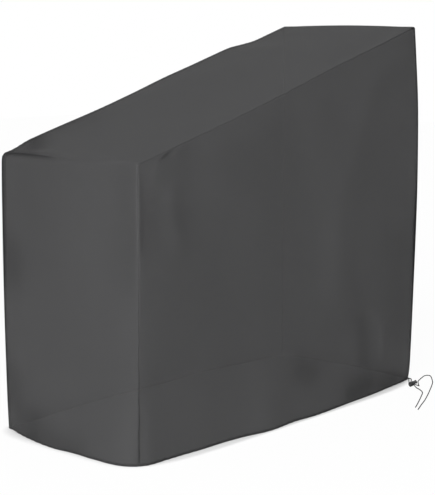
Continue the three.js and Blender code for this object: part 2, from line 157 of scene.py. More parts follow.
longRoute = [
    (0.6245, -0.2626, 0.0066), (0.6243, -0.2686, 0.0065), (0.6214, -0.275, 0.006),
    (0.6146, -0.281, 0.0047), (0.6045, -0.2883, 0.0027), (0.592, -0.297, 0.0017),
    (0.579, -0.3058, 0.0022), (0.5674, -0.3132, 0.0058), (0.56, -0.319, 0.01), (0.556, -0.3263, 0.0118),
    (0.5515, -0.3353, 0.0118), (0.5475, -0.3433, 0.0118), (0.547, -0.3489, 0.0111),
    (0.5498, -0.3538, 0.0095), (0.5552, -0.3563, 0.0073), (0.5613, -0.3557, 0.0051),
    (0.5676, -0.3523, 0.0033), (0.576, -0.3458, 0.002), (0.5875, -0.3366, 0.0015),
    (0.604, -0.3246, 0.0015), (0.6239, -0.3118, 0.0015), (0.6609, -0.2984, 0.0015),
    (0.69, -0.2893, 0.0015), (0.7025, -0.2874, 0.0015), (0.7115, -0.2907, 0.0015),
    (0.713, -0.2988, 0.0015), (0.7055, -0.308, 0.0015), (0.6748, -0.3324, 0.0015),
    (0.644, -0.3545, 0.0015), (0.6016, -0.3783, 0.0015), (0.5612, -0.399, 0.0015),
    (0.5029, -0.4283, 0.0015), (0.4315, -0.462, 0.0015), (0.3794, -0.4836, 0.0015),
    (0.3258, -0.5067, 0.0015),
]


def smoothLine(route, step):
    # one smooth curve through the route's points, with points this far apart along it
    places = np.array(route) + (0, 0, floorZ)
    before = np.vstack([2 * places[0] - places[1], places, 2 * places[-1] - places[-2]])
    dense = []
    for p0, p1, p2, p3 in zip(before, before[1:], before[2:], before[3:]):
        g0, g1, g2 = [max(np.linalg.norm(b - a) ** 0.5, 1e-4) for a, b in ((p0, p1), (p1, p2), (p2, p3))]
        leave = ((p1 - p0) / g0 - (p2 - p0) / (g0 + g1) + (p2 - p1) / g1) * g1
        reach = ((p2 - p1) / g1 - (p3 - p1) / (g1 + g2) + (p3 - p2) / g2) * g1
        t = np.linspace(0, 1, 40, endpoint=False)[:, None]
        dense.append((2 * t**3 - 3 * t**2 + 1) * p1 + (t**3 - 2 * t**2 + t) * leave
                     + (3 * t**2 - 2 * t**3) * p2 + (t**3 - t**2) * reach)
    dense = np.vstack(dense + [places[-1:]])
    run = runAlong(dense)
    marks = np.linspace(0, run[-1], int(round(run[-1] / step)) + 1)
    return spreadOut(marks, run, dense)[0], run[-1]


def lineFrames(line):
    # two directions across the line at each point, turning as little as they can
    ahead = unit(np.gradient(line, axis=0))
    side = np.cross(ahead[0], (0.0, 0.0, 1.0))
    sides = []
    for direction in ahead:
        side = side - direction * side.dot(direction)
        side = side / np.linalg.norm(side)
        sides.append(side)
    sides = np.array(sides)
    return sides, np.cross(ahead, sides), ahead


def makeCord(name, route, settings):
    line, long = smoothLine(route, settings["step"])
    sides, ups, ahead = lineFrames(line)
    run = np.linspace(0, long, len(line))[:, None]
    turn = np.linspace(0, 2 * math.pi, settings["sides"], endpoint=False)[None, :]
    twist = 2 * math.pi * run / settings["lay"]
    half = settings["strands"] / 2
    braid = np.maximum(np.cos(half * (turn + twist)), np.cos(half * (turn - twist)))
    radius = settings["diameter"] / 2 + settings["relief"] * (braid - settings["mean"])
    fromEnd = np.minimum(run, long - run) / (settings["diameter"] / 2)
    dome = 1 - (1 - np.clip(fromEnd, 0, 1)) ** 2  # sealed round ends
    radius = radius * np.sqrt(np.clip(dome, settings["tip"], 1))
    rings = (line[:, None] + radius[..., None]
             * (np.cos(turn)[..., None] * sides[:, None] + np.sin(turn)[..., None] * ups[:, None]))
    print(name, "made,", round(float(long), 4), "m long")
    return makeTube(name, rings, line, turn * settings["diameter"] / 2, run), line, long


cordShort, shortLine, shortLong = makeCord("cordShort", shortRoute, cordLook)
cordLong, longLine, longLong = makeCord("cordLong", longRoute, cordLook)
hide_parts("cord_short")
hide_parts("cord_long")


# Cloth: driving sizes and the panels' shapes. Each panel is worked out as the face of a sharp box that
# bows and swells, and then rounded off along its seams and folds.

cover = {
    "length": 1.250,
    "width": 0.533,
    "lowHeight": 0.794,
    "highHeight": 1.156,
    "swell": 0.002,  # how far each panel stands out of the plain box
    "seamRound": 0.007,  # how far the cloth rounds off beside a seam
    "softRound": 0.006,  # how much further beside the upper half of the near seam at the low end
    "softRange": (0.45, 0.65, 0.85, 1.0),  # shares of its height where that begins, is full, lessens, ends
    "foldRound": (0.006, 0.013),  # and beside the strip's two folds, at a seam and away from it
    "foldReach": 0.06,  # how far from the seam it is wholly away from it
    "swellReach": 0.05,  # how far the swell of one panel reaches into its neighbours
    "topPower": 6,  # how quickly what the top edges do dies away below them
    "thick": 0.0005,
}
slope = math.atan2(cover["highHeight"] - cover["lowHeight"], cover["length"])
topLength = math.hypot(cover["highHeight"] - cover["lowHeight"], cover["length"])

# How far each corner seam stands out of the plain box: share of its height, along X, along Y
cornerBows = {
    "nearLow": [(0, 0.007, 0.003), (0.1, 0.008, 0.006), (0.5, 0.008, 0.007), (0.88, 0.004, 0.004),
                (1, 0, 0)],
    "farLow": [(0, 0.0005, 0.0005), (0.12, 0.0022, 0.0022), (0.45, 0.0042, 0.0042), (0.8, 0.0036, 0.0036),
               (0.97, 0.0022, 0.0022), (1, 0, 0)],
    "nearHigh": [(0, 0.002, 0.002), (0.04, 0.0055, 0.0055), (0.25, 0.0102, 0.0102), (0.5, 0.0142, 0.0142),
                 (0.64, 0.0142, 0.0142), (0.79, 0.0118, 0.0118), (0.92, 0.0055, 0.0055), (1, 0.001, 0.001)],
    "farHigh": [(0, 0.003, 0.002), (0.3, 0.009, 0.008), (0.7, 0.012, 0.01), (0.93, 0.004, 0.004), (1, 0, 0)],
}
# The two top seams: share of the way to the high end, lift of the near and the far one, how far each
# bows sideways, and how much higher the cloth is between them
topSeams = [
    (0, 0, -0.004, 0, 0, 0.004), (0.03, -0.001, -0.0025, 0.0005, 0.0005, 0.004),
    (0.08, -0.0025, 0.005, 0.001, 0.001, 0.003), (0.3, -0.006, 0.0035, 0.003, 0.003, 0),
    (0.41, -0.006, 0.0055, 0.004, 0.004, -0.001), (0.52, -0.005, 0.0105, 0.004, 0.004, -0.001),
    (0.62, -0.003, 0.0115, 0.0035, 0.0035, 0), (0.7, -0.002, 0.013, 0.003, 0.003, 0.001),
    (0.77, -0.003, 0.0135, 0.002, 0.002, 0.003), (0.82, -0.0035, 0.0065, 0.0015, 0.0015, 0.003),
    (0.87, -0.004, 0.0005, 0.001, 0.001, 0.004), (0.93, -0.004, 0.0015, 0.0005, 0.0005, 0.005),
    (1, -0.003, 0.0035, 0, 0, 0.006),
]
# How much higher the fold at the low end is: share across from the near side, lift
lowFold = [(0, 0), (0.1, 0.003), (0.2, 0.003), (0.35, 0), (0.55, 0.001), (0.65, 0.004), (0.78, 0.007),
           (0.9, 0.0085), (0.97, 0.006), (1, 0)]
lowFoldReach = 0.05  # how far up the slope that goes
# How far each hem is pushed out: share along, out. Sides are read from the low end, ends from the near
# side.
hemBulges = {
    "near": [(0, 0), (0.004, 0.002), (0.02, 0.0115), (0.063, 0.0125), (0.17, 0.0175), (0.31, 0.027),
             (0.39, 0.045), (0.475, 0.0365), (0.56, 0.0435), (0.7, 0.032), (0.81, 0.0255), (0.935, 0.01),
             (1, 0)],
    "far": [(0, 0), (0.1, 0.011), (0.26, 0.03), (0.4, 0.038), (0.52, 0.03), (0.66, 0.041), (0.82, 0.022),
            (1, 0)],
    "low": [(0, 0), (0.053, 0.024), (0.145, 0.036), (0.265, 0.0345), (0.39, 0.034), (0.55, 0.0455),
            (0.78, 0.028), (0.9, 0.0115), (0.96, 0.0015), (1, 0)],
    "high": [(0, 0), (0.2, 0.017), (0.5, 0.028), (0.75, 0.02), (1, 0)],
}
flare = {"reach": 0.450, "power": 1.7}  # a hem's bulge dies away up to this height
bellies = {"near": 0.007, "far": 0.009, "low": 0.005, "high": 0.012}
# Main folds: half width, height out of the panel, and the line along it by share along and share up
folds = {
    "near": [(0.065, 0.007, [(0.8, 0.9), (0.735, 0.77), (0.675, 0.63), (0.655, 0.52), (0.67, 0.34)]),
             (0.034, 0.0045, [(0.02, 0.95), (0.04, 0.9)]), (0.045, -0.004, [(0.05, 0.8), (0.06, 0.72)]),
             (0.026, 0.0045, [(0.094, 0.85), (0.098, 0.78), (0.122, 0.70)]),
             (0.022, 0.0055, [(0.795, 0.25), (0.842, 0.2), (0.838, 0.12)]),
             (0.045, -0.005, [(0.77, 0.22), (0.78, 0.12)]), (0.060, -0.006, [(0.7, 0.25), (0.69, 0.2)]),
             (0.060, -0.005, [(0.54, 0.12), (0.56, 0.1)]), (0.07, 0.004, [(0.36, 0.75), (0.42, 0.5)]),
             (0.11, -0.006, [(0.95, 0.74), (0.95, 0.36)])],
    "far": [(0.060, 0.007, [(0.1, 0.93), (0.33, 0.62)]), (0.060, 0.007, [(0.9, 0.9), (0.7, 0.6)]),
            (0.055, -0.006, [(0.45, 0.35), (0.5, 0.12)]), (0.070, -0.005, [(0.62, 0.8), (0.5, 0.6)])],
    "low": [(0.040, -0.005, [(0.92, 0.64), (0.9, 0.58)]), (0.045, -0.004, [(0.92, 0.25), (0.93, 0.2)]),
            (0.030, 0.004, [(0.5, 0.06), (0.28, 0.02)]),
            (0.05, 0.004, [(0.35, 0.6), (0.45, 0.35), (0.4, 0.2)])],
    "high": [(0.055, 0.008, [(0.12, 0.9), (0.4, 0.62)]), (0.060, 0.006, [(0.85, 0.8), (0.6, 0.5)]),
             (0.055, -0.007, [(0.45, 0.3), (0.55, 0.1)])],
    "top": [(0.042, -0.006, [(0.1, 0.95), (0.05, 0.7)]), (0.070, -0.004, [(0.3, 0.3), (0.42, 0.6)]),
            (0.060, 0.005, [(0.7, 0.62), (0.86, 0.4)]), (0.022, -0.0035, [(0.9, 0.045), (0.74, 0.03)])],
}
# How far the cloth above each hem billows over it: share along, out
billows = {
    "near": [(0, 0), (0.3, 0.001), (0.7, 0.002), (0.85, 0.004), (0.95, 0.006), (1, 0)],
    "far": [(0, 0), (0.4, 0.003), (0.8, 0.002), (1, 0)],
    "low": [(0, 0), (0.25, 0.003), (0.5, 0.006), (0.75, 0.008), (0.93, 0.007), (1, 0)],
    "high": [(0, 0), (0.5, 0.005), (1, 0)],
}
billowHeight = 0.038
foldCalm = {"end": 0.004, "top": 0.02}  # how far from the strip's folds its wrinkles reach their height
inward = {
    "near": np.array((0.0, 1.0, 0.0)),
    "far": np.array((0.0, -1.0, 0.0)),
    "low": np.array((1.0, 0.0, 0.0)),
    "high": np.array((-1.0, 0.0, 0.0)),
    "top": np.array((math.sin(slope), 0.0, -math.cos(slope))),
}
xColumn, yColumn = 1, 2  # of cornerBows
nearLift, farLift, nearOut, farOut, crown = 1, 2, 3, 4, 5  # columns of topSeams


def mix(a, b, share):
    return a + (b - a) * share


def arch(share):
    return 4 * share * (1 - share)


def smoothStep(low, high, value):
    t = np.clip((value - low) / (high - low), 0, 1)
    return t * t * (3 - 2 * t)


def follow(table, column, at):
    # a smooth value of one column of a table, at places along its first column
    rows = np.array(table, float)
    x, y = rows[:, 0], rows[:, column]
    last = len(x) - 1
    low, high = np.maximum(np.arange(last + 1) - 1, 0), np.minimum(np.arange(last + 1) + 1, last)
    steep = (y[high] - y[low]) / (x[high] - x[low])
    k = np.clip(np.searchsorted(x, at, side="right") - 1, 0, last - 1)
    span = x[k + 1] - x[k]
    t = (at - x[k]) / span
    return ((1 + 2 * t) * (1 - t) ** 2 * y[k] + t * (1 - t) ** 2 * span * steep[k]
            + t * t * (3 - 2 * t) * y[k + 1] - t * t * (1 - t) * span * steep[k + 1])


def foldRelief(rows, along, up, long, tall):
    # long soft folds, each along its own line of points
    relief = 0
    place = np.stack(np.broadcast_arrays(along * long, up * tall), -1)
    size = np.stack(np.broadcast_arrays(long, tall), -1)
    for half, out, line in rows:
        away = np.full(place.shape[:-1], np.inf)
        for one, other in zip(line, line[1:]):
            start = size * one
            run = size * other - start
            share = np.clip(((place - start) * run).sum(-1) / (run * run).sum(-1), 0, 1)
            away = np.minimum(away, np.linalg.norm(place - start - run * share[..., None], axis=-1))
        relief = relief + out * np.exp(-((away / half) ** 2))
    return relief


def dieAway(along, up):
    # the main folds end at the seams and at the strip's folds
    return np.minimum(1, 4 * arch(along)) * np.minimum(1, 10 * (1 - up))


def flareAt(height):
    return np.maximum(0, 1 - height / flare["reach"]) ** flare["power"]


def topAt(share):
    return mix(cover["lowHeight"], cover["highHeight"], share)


def topLift(along, across):
    lift = mix(follow(topSeams, nearLift, along), follow(topSeams, farLift, along), across)
    lift = lift + follow(topSeams, crown, along) * arch(across)
    lift = lift + follow(lowFold, 1, across + 0 * along) * np.exp(-along * topLength / lowFoldReach)
    relief = foldRelief(folds["top"], across, along, cover["width"], topLength)
    relief = relief * np.minimum(1, 4 * arch(across))
    return lift + relief * np.minimum(1, 25 * along) * np.minimum(1, 25 * (1 - along))


# Small wrinkles that the main folds leave out

wrinkleLook = {
    "seed": 11,
    "soft": {"waves": 9, "from": 0.16, "to": 0.42, "height": 0.0011},  # wave lengths and height
    "fine": {"waves": 14, "from": 0.030, "to": 0.085, "height": 0.00022},
    "topShare": (0.7, 0.3),  # how much of both there is on the slope, where the cloth is drawn flat
    "turning": 0.9,  # how much the ways of the waves differ, in radians
    "meander": (0.25, 2.6),  # how far a wave sways, and the length of a sway, as shares of its own length
    "calm": 0.03,  # how far from the seams they reach their full height
    # Beside the seams and above the hem. Wander holds two rates along the cloth and how far each shifts
    # the waves. Strength holds its even part, its changing part, and the rate of the change.
    "pucker": {
        "pitch": 0.017,
        "height": 0.0007,
        "reach": 0.007,
        "wander": ((61, 1.6), (23, 2.2)),
        "strength": (0.6, 0.4, 17),
    },
    "gather": {
        "pitch": 0.024,
        "height": 0.0012,
        "reach": 0.045,
        "wander": ((19, 2.4), (47, 1.3)),
        "strength": (0.55, 0.45, 9),
        "atCord": (1.6, 0.09),  # how much stronger it is where the cord comes out, and how far that goes
    },
    "creaseShade": 130,  # painted shade in a crease's trough for its depth, and painted light on a ridge
}
# Fine creases, in the same way as the folds
creases = {
    "near": [(0.0045, 0.0011, [(0.713, 0.55), (0.862, 0.508), (1.0, 0.466)]),
             (0.006, -0.0035, [(0.09, 0.988), (0.075, 0.982)]),
             (0.006, 0.0025, [(0.115, 0.985), (0.1, 0.972)]),
             (0.007, 0.002, [(0.06, 0.985), (0.045, 0.96)])],
    "far": [(0.004, 0.0008, [(0.0, 0.52), (1.0, 0.48)]), (0.004, 0.0007, [(0.5, 0.05), (0.49, 0.96)])],
    "low": [(0.0075, -0.002, [(0.96, 0.992), (0.62, 0.992)]),
            (0.003, -0.001, [(0.6, 0.9965), (0.25, 0.9965)]), (0.004, 0.0004, [(0.5, 0.1), (0.5, 0.94)])],
    "high": [(0.004, 0.0008, [(0.0, 0.5), (1.0, 0.49)]), (0.004, 0.0007, [(0.5, 0.05), (0.5, 0.96)])],
    "top": [(0.0045, 0.0005, [(0.5, 0.04), (0.5, 0.96)])],
}
# Painted shade, and painted light below 0: patches where the cloth is shaded or lit, as beside the folds,
# under the low fold and above the hems, in the same way
shadedAndLitPatches = {
    "near": [(0.09, -0.25, [(0.56, 0.85), (0.62, 0.6), (0.62, 0.4)]),
             (0.05, -0.2, [(0.2, 0.97), (0.92, 0.96)]), (0.10, 0.15, [(0.93, 0.4), (0.93, 0.2)]),
             (0.05, 0.3, [(0.515, 0.15), (0.55, 0.13)]), (0.05, 0.42, [(0.71, 0.03), (0.78, 0.04)]),
             (0.04, 0.35, [(0.85, 0.02), (0.9, 0.015)]), (0.1, -0.22, [(0.72, 0.85), (0.9, 0.8)]),
             (0.05, -0.12, [(0.92, 0.65), (0.92, 0.5)]), (0.012, 0.3, [(0.008, 0.95), (0.008, 0.72)]),
             (0.04, 0.2, [(0.765, 0.22), (0.775, 0.12)]),
             (0.012, -0.4, [(0.795, 0.25), (0.842, 0.2), (0.838, 0.12)]),
             (0.03, -0.2, [(0.03, 0.95), (0.07, 0.87)]), (0.05, -0.15, [(0.2, 0.84), (0.24, 0.8)]),
             (0.035, 0.1, [(0.115, 0.79), (0.145, 0.68)])],
    "far": [(0.12, -0.3, [(0.2, 0.8), (0.4, 0.7)]), (0.1, 0.25, [(0.7, 0.4), (0.75, 0.2)])],
    "low": [(0.010, 0.1, [(0.97, 1), (0.78, 1)]), (0.010, 0.3, [(0.97, 1), (0.66, 1)]),
            (0.007, 0.15, [(0.97, 1), (0.5, 1)]), (0.055, 0.3, [(0.955, 0.65), (0.94, 0.57)]),
            (0.03, 0.22, [(0.93, 0.025), (0.7, 0.02)]), (0.03, 0.2, [(0.97, 0.1), (0.7, 0.1)]),
            (0.05, 0.26, [(0.96, 0.2), (0.92, 0.17)]), (0.12, 0.12, [(0.8, 0.95), (0.78, 0.7)]),
            (0.06, 0.13, [(0.07, 0.94), (0.07, 0.66)]), (0.07, 0.27, [(0.68, 0.03), (0.4, 0.015)])],
    "high": [(0.12, -0.3, [(0.4, 0.8), (0.6, 0.6)]), (0.08, 0.25, [(0.5, 0.3), (0.4, 0.15)])],
    "top": [(0.03, 0.33, [(0.95, 0.08), (0.83, 0.04)]), (0.1, 0.15, [(1, 0.04), (0.95, 0.2)]),
            (0.02, 0.2, [(0.95, 0), (0.75, 0)]), (0.015, 0.15, [(0.95, 0), (0.6, 0)]),
            (0.008, 0.8, [(0.02, 1), (0.98, 1)])],
}


def paintedShadingAt(face, along, up, long, tall):
    # painted shade and light on the cloth there: darker in its creases' troughs and lighter on their ridges,
    # and the patches of painted shade and light
    return (foldRelief(shadedAndLitPatches[face], along, up, long, tall)
            - wrinkleLook["creaseShade"] * foldRelief(creases[face], along, up, long, tall))


def waveSum(settings, a, b, random):
    # soft unevenness from waves of random length, way and phase
    swing, sway = wrinkleLook["meander"]
    total = np.zeros(np.broadcast(a, b).shape)
    for _ in range(settings["waves"]):
        long = random.uniform(settings["from"], settings["to"])
        way = random.normal(math.pi / 2, wrinkleLook["turning"])
        phase, bend = random.uniform(0, 2 * math.pi, 2)
        u, v = a * math.cos(way) + b * math.sin(way), b * math.cos(way) - a * math.sin(way)
        shift = swing * long * np.sin(2 * math.pi * u / (sway * long) + bend)
        total += np.sin(2 * math.pi / long * (v + shift) + phase)
    return settings["height"] * total / math.sqrt(settings["waves"])


def unevenWave(settings, run, number):
    # a wave along a seam or a hem, of uneven length, and other on each panel
    (often, sway), (seldom, drift) = settings["wander"]
    shift = sway * np.sin(run * often + number) + drift * np.sin(run * seldom)
    return np.sin(2 * math.pi * run / settings["pitch"] + shift)


def betweenSeams(share, long):
    # the share of the way from one seam's first fold to the other's. A bulge read by it leaves both closed.
    return np.clip((share * long - seamStart) / (long - 2 * seamStart), 0, 1)


def wrinkles(face, along, up, long, tall, edges, height=None):
    # height out of the panel. edges are the distances to its seams.
    number = ["near", "far", "low", "high", "top"].index(face)
    random = np.random.default_rng(wrinkleLook["seed"] + number)
    a, b = along * long, up * tall
    softShare, fineShare = wrinkleLook["topShare"] if face == "top" else (1, 1)
    relief = softShare * waveSum(wrinkleLook["soft"], a, b, random)
    relief = relief + fineShare * waveSum(wrinkleLook["fine"], a, b, random)
    relief = relief + foldRelief(creases[face], along, up, long, tall)
    edges = np.broadcast_arrays(*edges, relief)[:-1]
    inside = smoothStep(0, wrinkleLook["calm"], np.minimum.reduce(edges))
    relief = relief * inside
    pucker = wrinkleLook["pucker"]
    even, changing, rate = pucker["strength"]
    for run, away in zip((b, b, a), edges):
        inset = np.maximum(0, away - seamStart) / pucker["reach"]
        rise = inset**2 * np.exp(2 * (1 - inset))  # none at the seam itself, so it stays closed
        strength = even + changing * np.sin(run * rate + 1)
        relief = relief + pucker["height"] * unevenWave(pucker, run, number) * rise * strength
    if height is None:
        return relief
    gather = wrinkleLook["gather"]
    even, changing, rate = gather["strength"]
    strength = even + changing * np.sin(a * rate + 2 + number)
    fromCord = {"near": edges[1], "high": edges[0]}.get(face)
    if fromCord is not None:
        strength = strength + gather["atCord"][0] * np.exp(-fromCord / gather["atCord"][1])
    share = np.exp(-np.maximum(height, 0) / gather["reach"]) * inside
    relief = relief + gather["height"] * unevenWave(gather, a, number) * share * strength
    billow = follow(billows[face], 1, betweenSeams(along, long) + 0 * height)
    return relief + billow * (height / billowHeight) * np.exp(1 - height / billowHeight)


# The rounding that seams and folds share, by how far a point is from each pair of neighbouring faces

def roundOff(points, away):
    names = list(away)
    moved = points
    for i, one in enumerate(names):
        for other in names[i + 1:]:
            pair = {one, other}
            if pair in ({"near", "far"}, {"low", "high"}):
                continue
            reach = cover["seamRound"]
            if pair == {"near", "low"}:
                up = points[..., 2] / cover["lowHeight"]
                begin, full, less, end = cover["softRange"]
                reach = reach + cover["softRound"] * smoothStep(begin, full, up) * smoothStep(end, less, up)
            if not {"near", "far"} & pair:
                fromSeam = np.minimum(away.get("near", np.inf), away.get("far", np.inf))
                reach = mix(*cover["foldRound"], smoothStep(0, cover["foldReach"], fromSeam))
            far = np.maximum(away[one], away[other])
            draw = reach / 4 * np.maximum(0, 1 - far / reach) ** 2
            moved = moved + draw[..., None] * (inward[one] + inward[other])
    # each face also stands out a little, with its neighbours' share of that beside them
    for name, distance in away.items():
        moved = moved - cover["swell"] * np.exp(-distance / cover["swellReach"])[..., None] * inward[name]
    return moved


def standOut(face, out, along, up, long, tall, height, edges, fade=1):
    # a side's or an end's distance out of the plain box, with bulge, belly, folds and wrinkles added
    out = out + follow(hemBulges[face], 1, betweenSeams(along, long)) * flareAt(height)
    out = out + bellies[face] * arch(along) * arch(up)
    out = out + foldRelief(folds[face], along, up, long, tall) * dieAway(along, up)
    return out + wrinkles(face, along, up, long, tall, edges, height) * fade


def sidePoints(side, share, heightLow, heightHigh):
    # a side panel's outer face, at shares of the way to the high end, and at heights that are given at
    # its low and its high edge
    long = cover["length"]
    sign, across, outColumn = (-1, 0.0, nearOut) if side == "near" else (1, 1.0, farOut)
    height = mix(heightLow, heightHigh, share)
    top = topAt(share)
    up = height / top
    lowBow, highBow = cornerBows[side + "Low"], cornerBows[side + "High"]
    lowX = -long / 2 - follow(lowBow, xColumn, heightLow / cover["lowHeight"])
    highX = long / 2 + follow(highBow, xColumn, heightHigh / cover["highHeight"])
    edges = [share * long, (1 - share) * long, (top - height) * math.cos(slope)]
    out = mix(follow(lowBow, yColumn, up), follow(highBow, yColumn, up), share)
    out = out + follow(topSeams, outColumn, share) * up**cover["topPower"]
    out = standOut(side, out, share, up, long, top, height, edges)
    y = sign * (cover["width"] / 2 + out)
    z = height + topLift(share, across) * up**cover["topPower"]
    points = np.stack(np.broadcast_arrays(mix(lowX, highX, share), y, z), -1)
    zero = np.zeros(np.shape(height))
    return roundOff(points, {side: zero, "low": edges[0] + zero, "high": edges[1] + zero, "top": edges[2]})


def endPoints(end, across, height):
    # the strip's outer face on an end
    wide = cover["width"]
    sign, share, tall = (-1, 0.0, cover["lowHeight"]) if end == "low" else (1, 1.0, cover["highHeight"])
    up = height / tall
    near, far = cornerBows["near" + end.title()], cornerBows["far" + end.title()]
    edges = [across * wide, (1 - across) * wide]
    out = mix(follow(near, xColumn, up), follow(far, xColumn, up), across)
    fade = smoothStep(0, foldCalm["end"], tall - height)
    out = standOut(end, out, across, up, wide, tall, height, edges, fade)
    y = mix(-wide / 2 - follow(near, yColumn, up), wide / 2 + follow(far, yColumn, up), across)
    z = height + topLift(share, across) * up**cover["topPower"]
    points = np.stack(np.broadcast_arrays(sign * (cover["length"] / 2 + out), y, z), -1)
    zero = np.zeros(points.shape[:-1])
    return roundOff(points, {end: zero, "near": edges[0] + zero, "far": edges[1] + zero,
                             "top": (tall - height) * math.cos(slope) + zero})


def topPoints(across, share):
    # the strip's outer face on the slope
    wide, long = cover["width"], cover["length"]
    edges = [across * wide, (1 - across) * wide]
    y = mix(-wide / 2 - follow(topSeams, nearOut, share), wide / 2 + follow(topSeams, farOut, share), across)
    fade = smoothStep(0, foldCalm["top"], np.minimum(share, 1 - share) * topLength)
    relief = wrinkles("top", across, share, wide, topLength, edges) * fade
    points = np.stack(np.broadcast_arrays(mix(-0.5, 0.5, share) * long, y,
                                          topAt(share) + topLift(share, across) + relief), -1)
    zero = np.zeros(points.shape[:-1])
    return roundOff(points, {"top": zero, "near": edges[0] + zero, "far": edges[1] + zero,
                             "low": share * long + zero, "high": (1 - share) * long + zero})


# Seams and hem

seamLook = {
    "turn": 0.0007,  # radius at which the cloth turns into the seam
    "gap": 0.0002,  # between the two cloths in it
    "allowance": {  # how deep the seam stands inside, by share of the way round from the low hem
        "near": [(0, 0.006), (0.2, 0.005), (0.6, 0.005), (1, 0.006)],
        "far": [(0, 0.006), (0.12, 0.0065), (0.17, 0.0105), (0.236, 0.0115), (0.26, 0.0065), (1, 0.006)],
    },
    "turnSteps": 4,
    "allowanceSteps": 3,
    "wave": 0.0012,  # how far its free edge wanders
    "uvStep": 0.0015,  # between the seam's rows on the cloth
    "deepen": 0.12,  # painted shade: how much darker each of those rows is than the one before, deeper in the seam
    "unseen": -0.9,  # but not where the shade is below this
    "shade": {  # by that share: how dark the cloth is beside it, for the doubled cloth and as painted shade along the outlines, painted light below 0, and how far that goes
        "near": [(0, 0.5, 0.004), (0.04, 0.4, 0.004), (0.1, 0, 0.004), (0.15, -0.2, 0.004),
                 (0.17, -0.4, 0.004), (0.185, -0.6, 0.004), (0.225, -0.6, 0.004), (0.24, -0.4, 0.004),
                 (0.25, -0.55, 0.004), (0.6, -0.55, 0.004), (0.635, 0, 0.004), (0.65, 1.3, 0.006),
                 (0.76, 1.3, 0.006), (0.8, 1.6, 0.009), (0.84, 1.8, 0.013), (0.88, 1.8, 0.011),
                 (0.92, 1.6, 0.009), (0.95, 1.4, 0.007), (1, 1.2, 0.005)],
        "far": [(0, 1.1, 0.006), (0.12, 1.2, 0.007), (0.17, 1.5, 0.009), (0.235, 1.5, 0.009),
                (0.25, 1, 0.005), (0.45, 1, 0.004), (0.64, 1, 0.004), (0.66, -1, 0.004), (1, -1, 0.004)],
    },
}
hemLook = {
    "casing": 0.0025,  # radius of the casing round the drawcord
    "inset": 0.0017,  # of the casing's middle from the cloth's outer face
    "lift": 0.00275,  # of the casing's middle from the floor
    "stitch": 0.0066,  # height of the stitch line
    "raw": 0.0079,  # height of the turned-in edge
    "play": 0.0002,  # between the panel and the turned-in edge
    "round": (140, 410, 27),  # degrees round the casing from, to and a step
    "corner": 0.0003,  # the hem stops this far from a corner
    "notch": 0.006,  # and this far from the corner where the cord comes out
    "sideRows": (-0.0037, 0.0014),  # where its rows lie on the side panels' cloth: the first, and a step
    "stripRows": (-0.012, 0.001),  # and on the strip's: the first, and from the last to the plain strip
    # how dark each hem is, for its doubled cloth and as painted shade, and painted light below 0 on the hems
    # seen through the cloth
    "shade": {"near": 0.4, "low": 0.4, "far": -1, "high": -1},
}
seamStart = math.sqrt(2) * (seamLook["turn"] + seamLook["gap"] / 2)
seamLong = cover["lowHeight"] + topLength + cover["highHeight"]
# Distances between columns, and how many of a side's rows there are for its columns. Then closer places:
# from a seam, above the hem, and from a fold.
spacing = {"side": 0.0068, "strip": 0.0088, "rowShare": 0.86}
easing = [0.0033, 0.0047, 0.006, 0.0078, 0.010, 0.0125, 0.0155, 0.019, 0.0235, 0.029, 0.0355]
panelRows = [0.0086, 0.0102, 0.0125, 0.0158, 0.0202, 0.026]
foldRows = [0.0013, 0.0026, 0.0039, 0.0052, 0.0065, 0.0078, 0.0095, 0.012, 0.016, 0.021, 0.028]


def evenly(start, end, step):
    count = max(2, int(round((end - start) / step)))
    return list(np.linspace(start, end, count + 1))


def shadeBeside(side, roundWay, away):
    # painted shade beside a seam, and painted light where the table is below 0
    table = seamLook["shade"][side]
    return follow(table, 1, roundWay) * np.exp(-((away / follow(table, 2, roundWay)) ** 2))


def foldedShade(shade, k):
    # painted shade: the deeper in the seam the darker
    darker = np.clip(shade + seamLook["deepen"] * (k + 1), -1, 1)
    return np.where(shade < seamLook["unseen"], shade, darker)


def seamDistances(long, step):
    # places from one seam to the other, close together beside both
    beside = [seamStart] + easing
    middle = evenly(easing[-1], long - easing[-1], step)[1:-1]
    return np.array(beside + middle + [long - e for e in reversed(beside)])


def hemProfile():
    # the folded hem from its turned-in edge to the plain panel: out of the panel's face, and height
    turnedIn = -2 * cover["thick"] - hemLook["play"]
    rows = [(turnedIn, hemLook["raw"]), (turnedIn, hemLook["stitch"])]
    for degrees in range(*hemLook["round"]):
        turn = math.radians(degrees)
        rows.append((-hemLook["inset"] + hemLook["casing"] * math.cos(turn),
                     hemLook["lift"] + hemLook["casing"] * math.sin(turn)))
    return rows + [(0.0, hemLook["stitch"])]


def seamWander(points):
    run = points[..., 0] + points[..., 2]
    return seamLook["wave"] * (np.sin(run * 61 + 1) + 0.5 * np.sin(run * 143))


def seamAcross(ownWay, otherWay):
    # across a seam, from the side panel's cloth to the strip's, on either of them
    across = unit(ownWay - otherWay)
    return across * np.where(np.abs(ownWay[..., 1:2]) > 0.5, -1, 1)


def turnIn(edge, ownWay, otherWay, side, path):
    # the cloth beyond an edge: it turns into the seam and runs on inside. ownWay runs along this panel
    # away from the seam, otherWay along its neighbour. path is the distance round from the low fold.
    into, aside = unit(ownWay + otherWay), unit(ownWay - otherWay)
    radius = seamLook["turn"]
    rings = []
    for k in range(1, seamLook["turnSteps"] + 1):
        turn = k / seamLook["turnSteps"] * math.pi / 2
        rings.append(edge - aside * radius * math.sin(turn) + into * radius * (1 - math.cos(turn)))
    foot = rings[-1]
    roundWay = (path + cover["lowHeight"]) / seamLong
    depth = follow(seamLook["allowance"][side], 1, roundWay)[:, None]
    wander = seamWander(edge)[..., None] * seamAcross(ownWay, otherWay)
    for k in range(1, seamLook["allowanceSteps"] + 1):
        share = k / seamLook["allowanceSteps"]
        rings.append(foot + into * share * (depth - radius) + wander * share**2)
    return rings, (rings[-1] - aside * seamLook["gap"] / 2, into, aside)


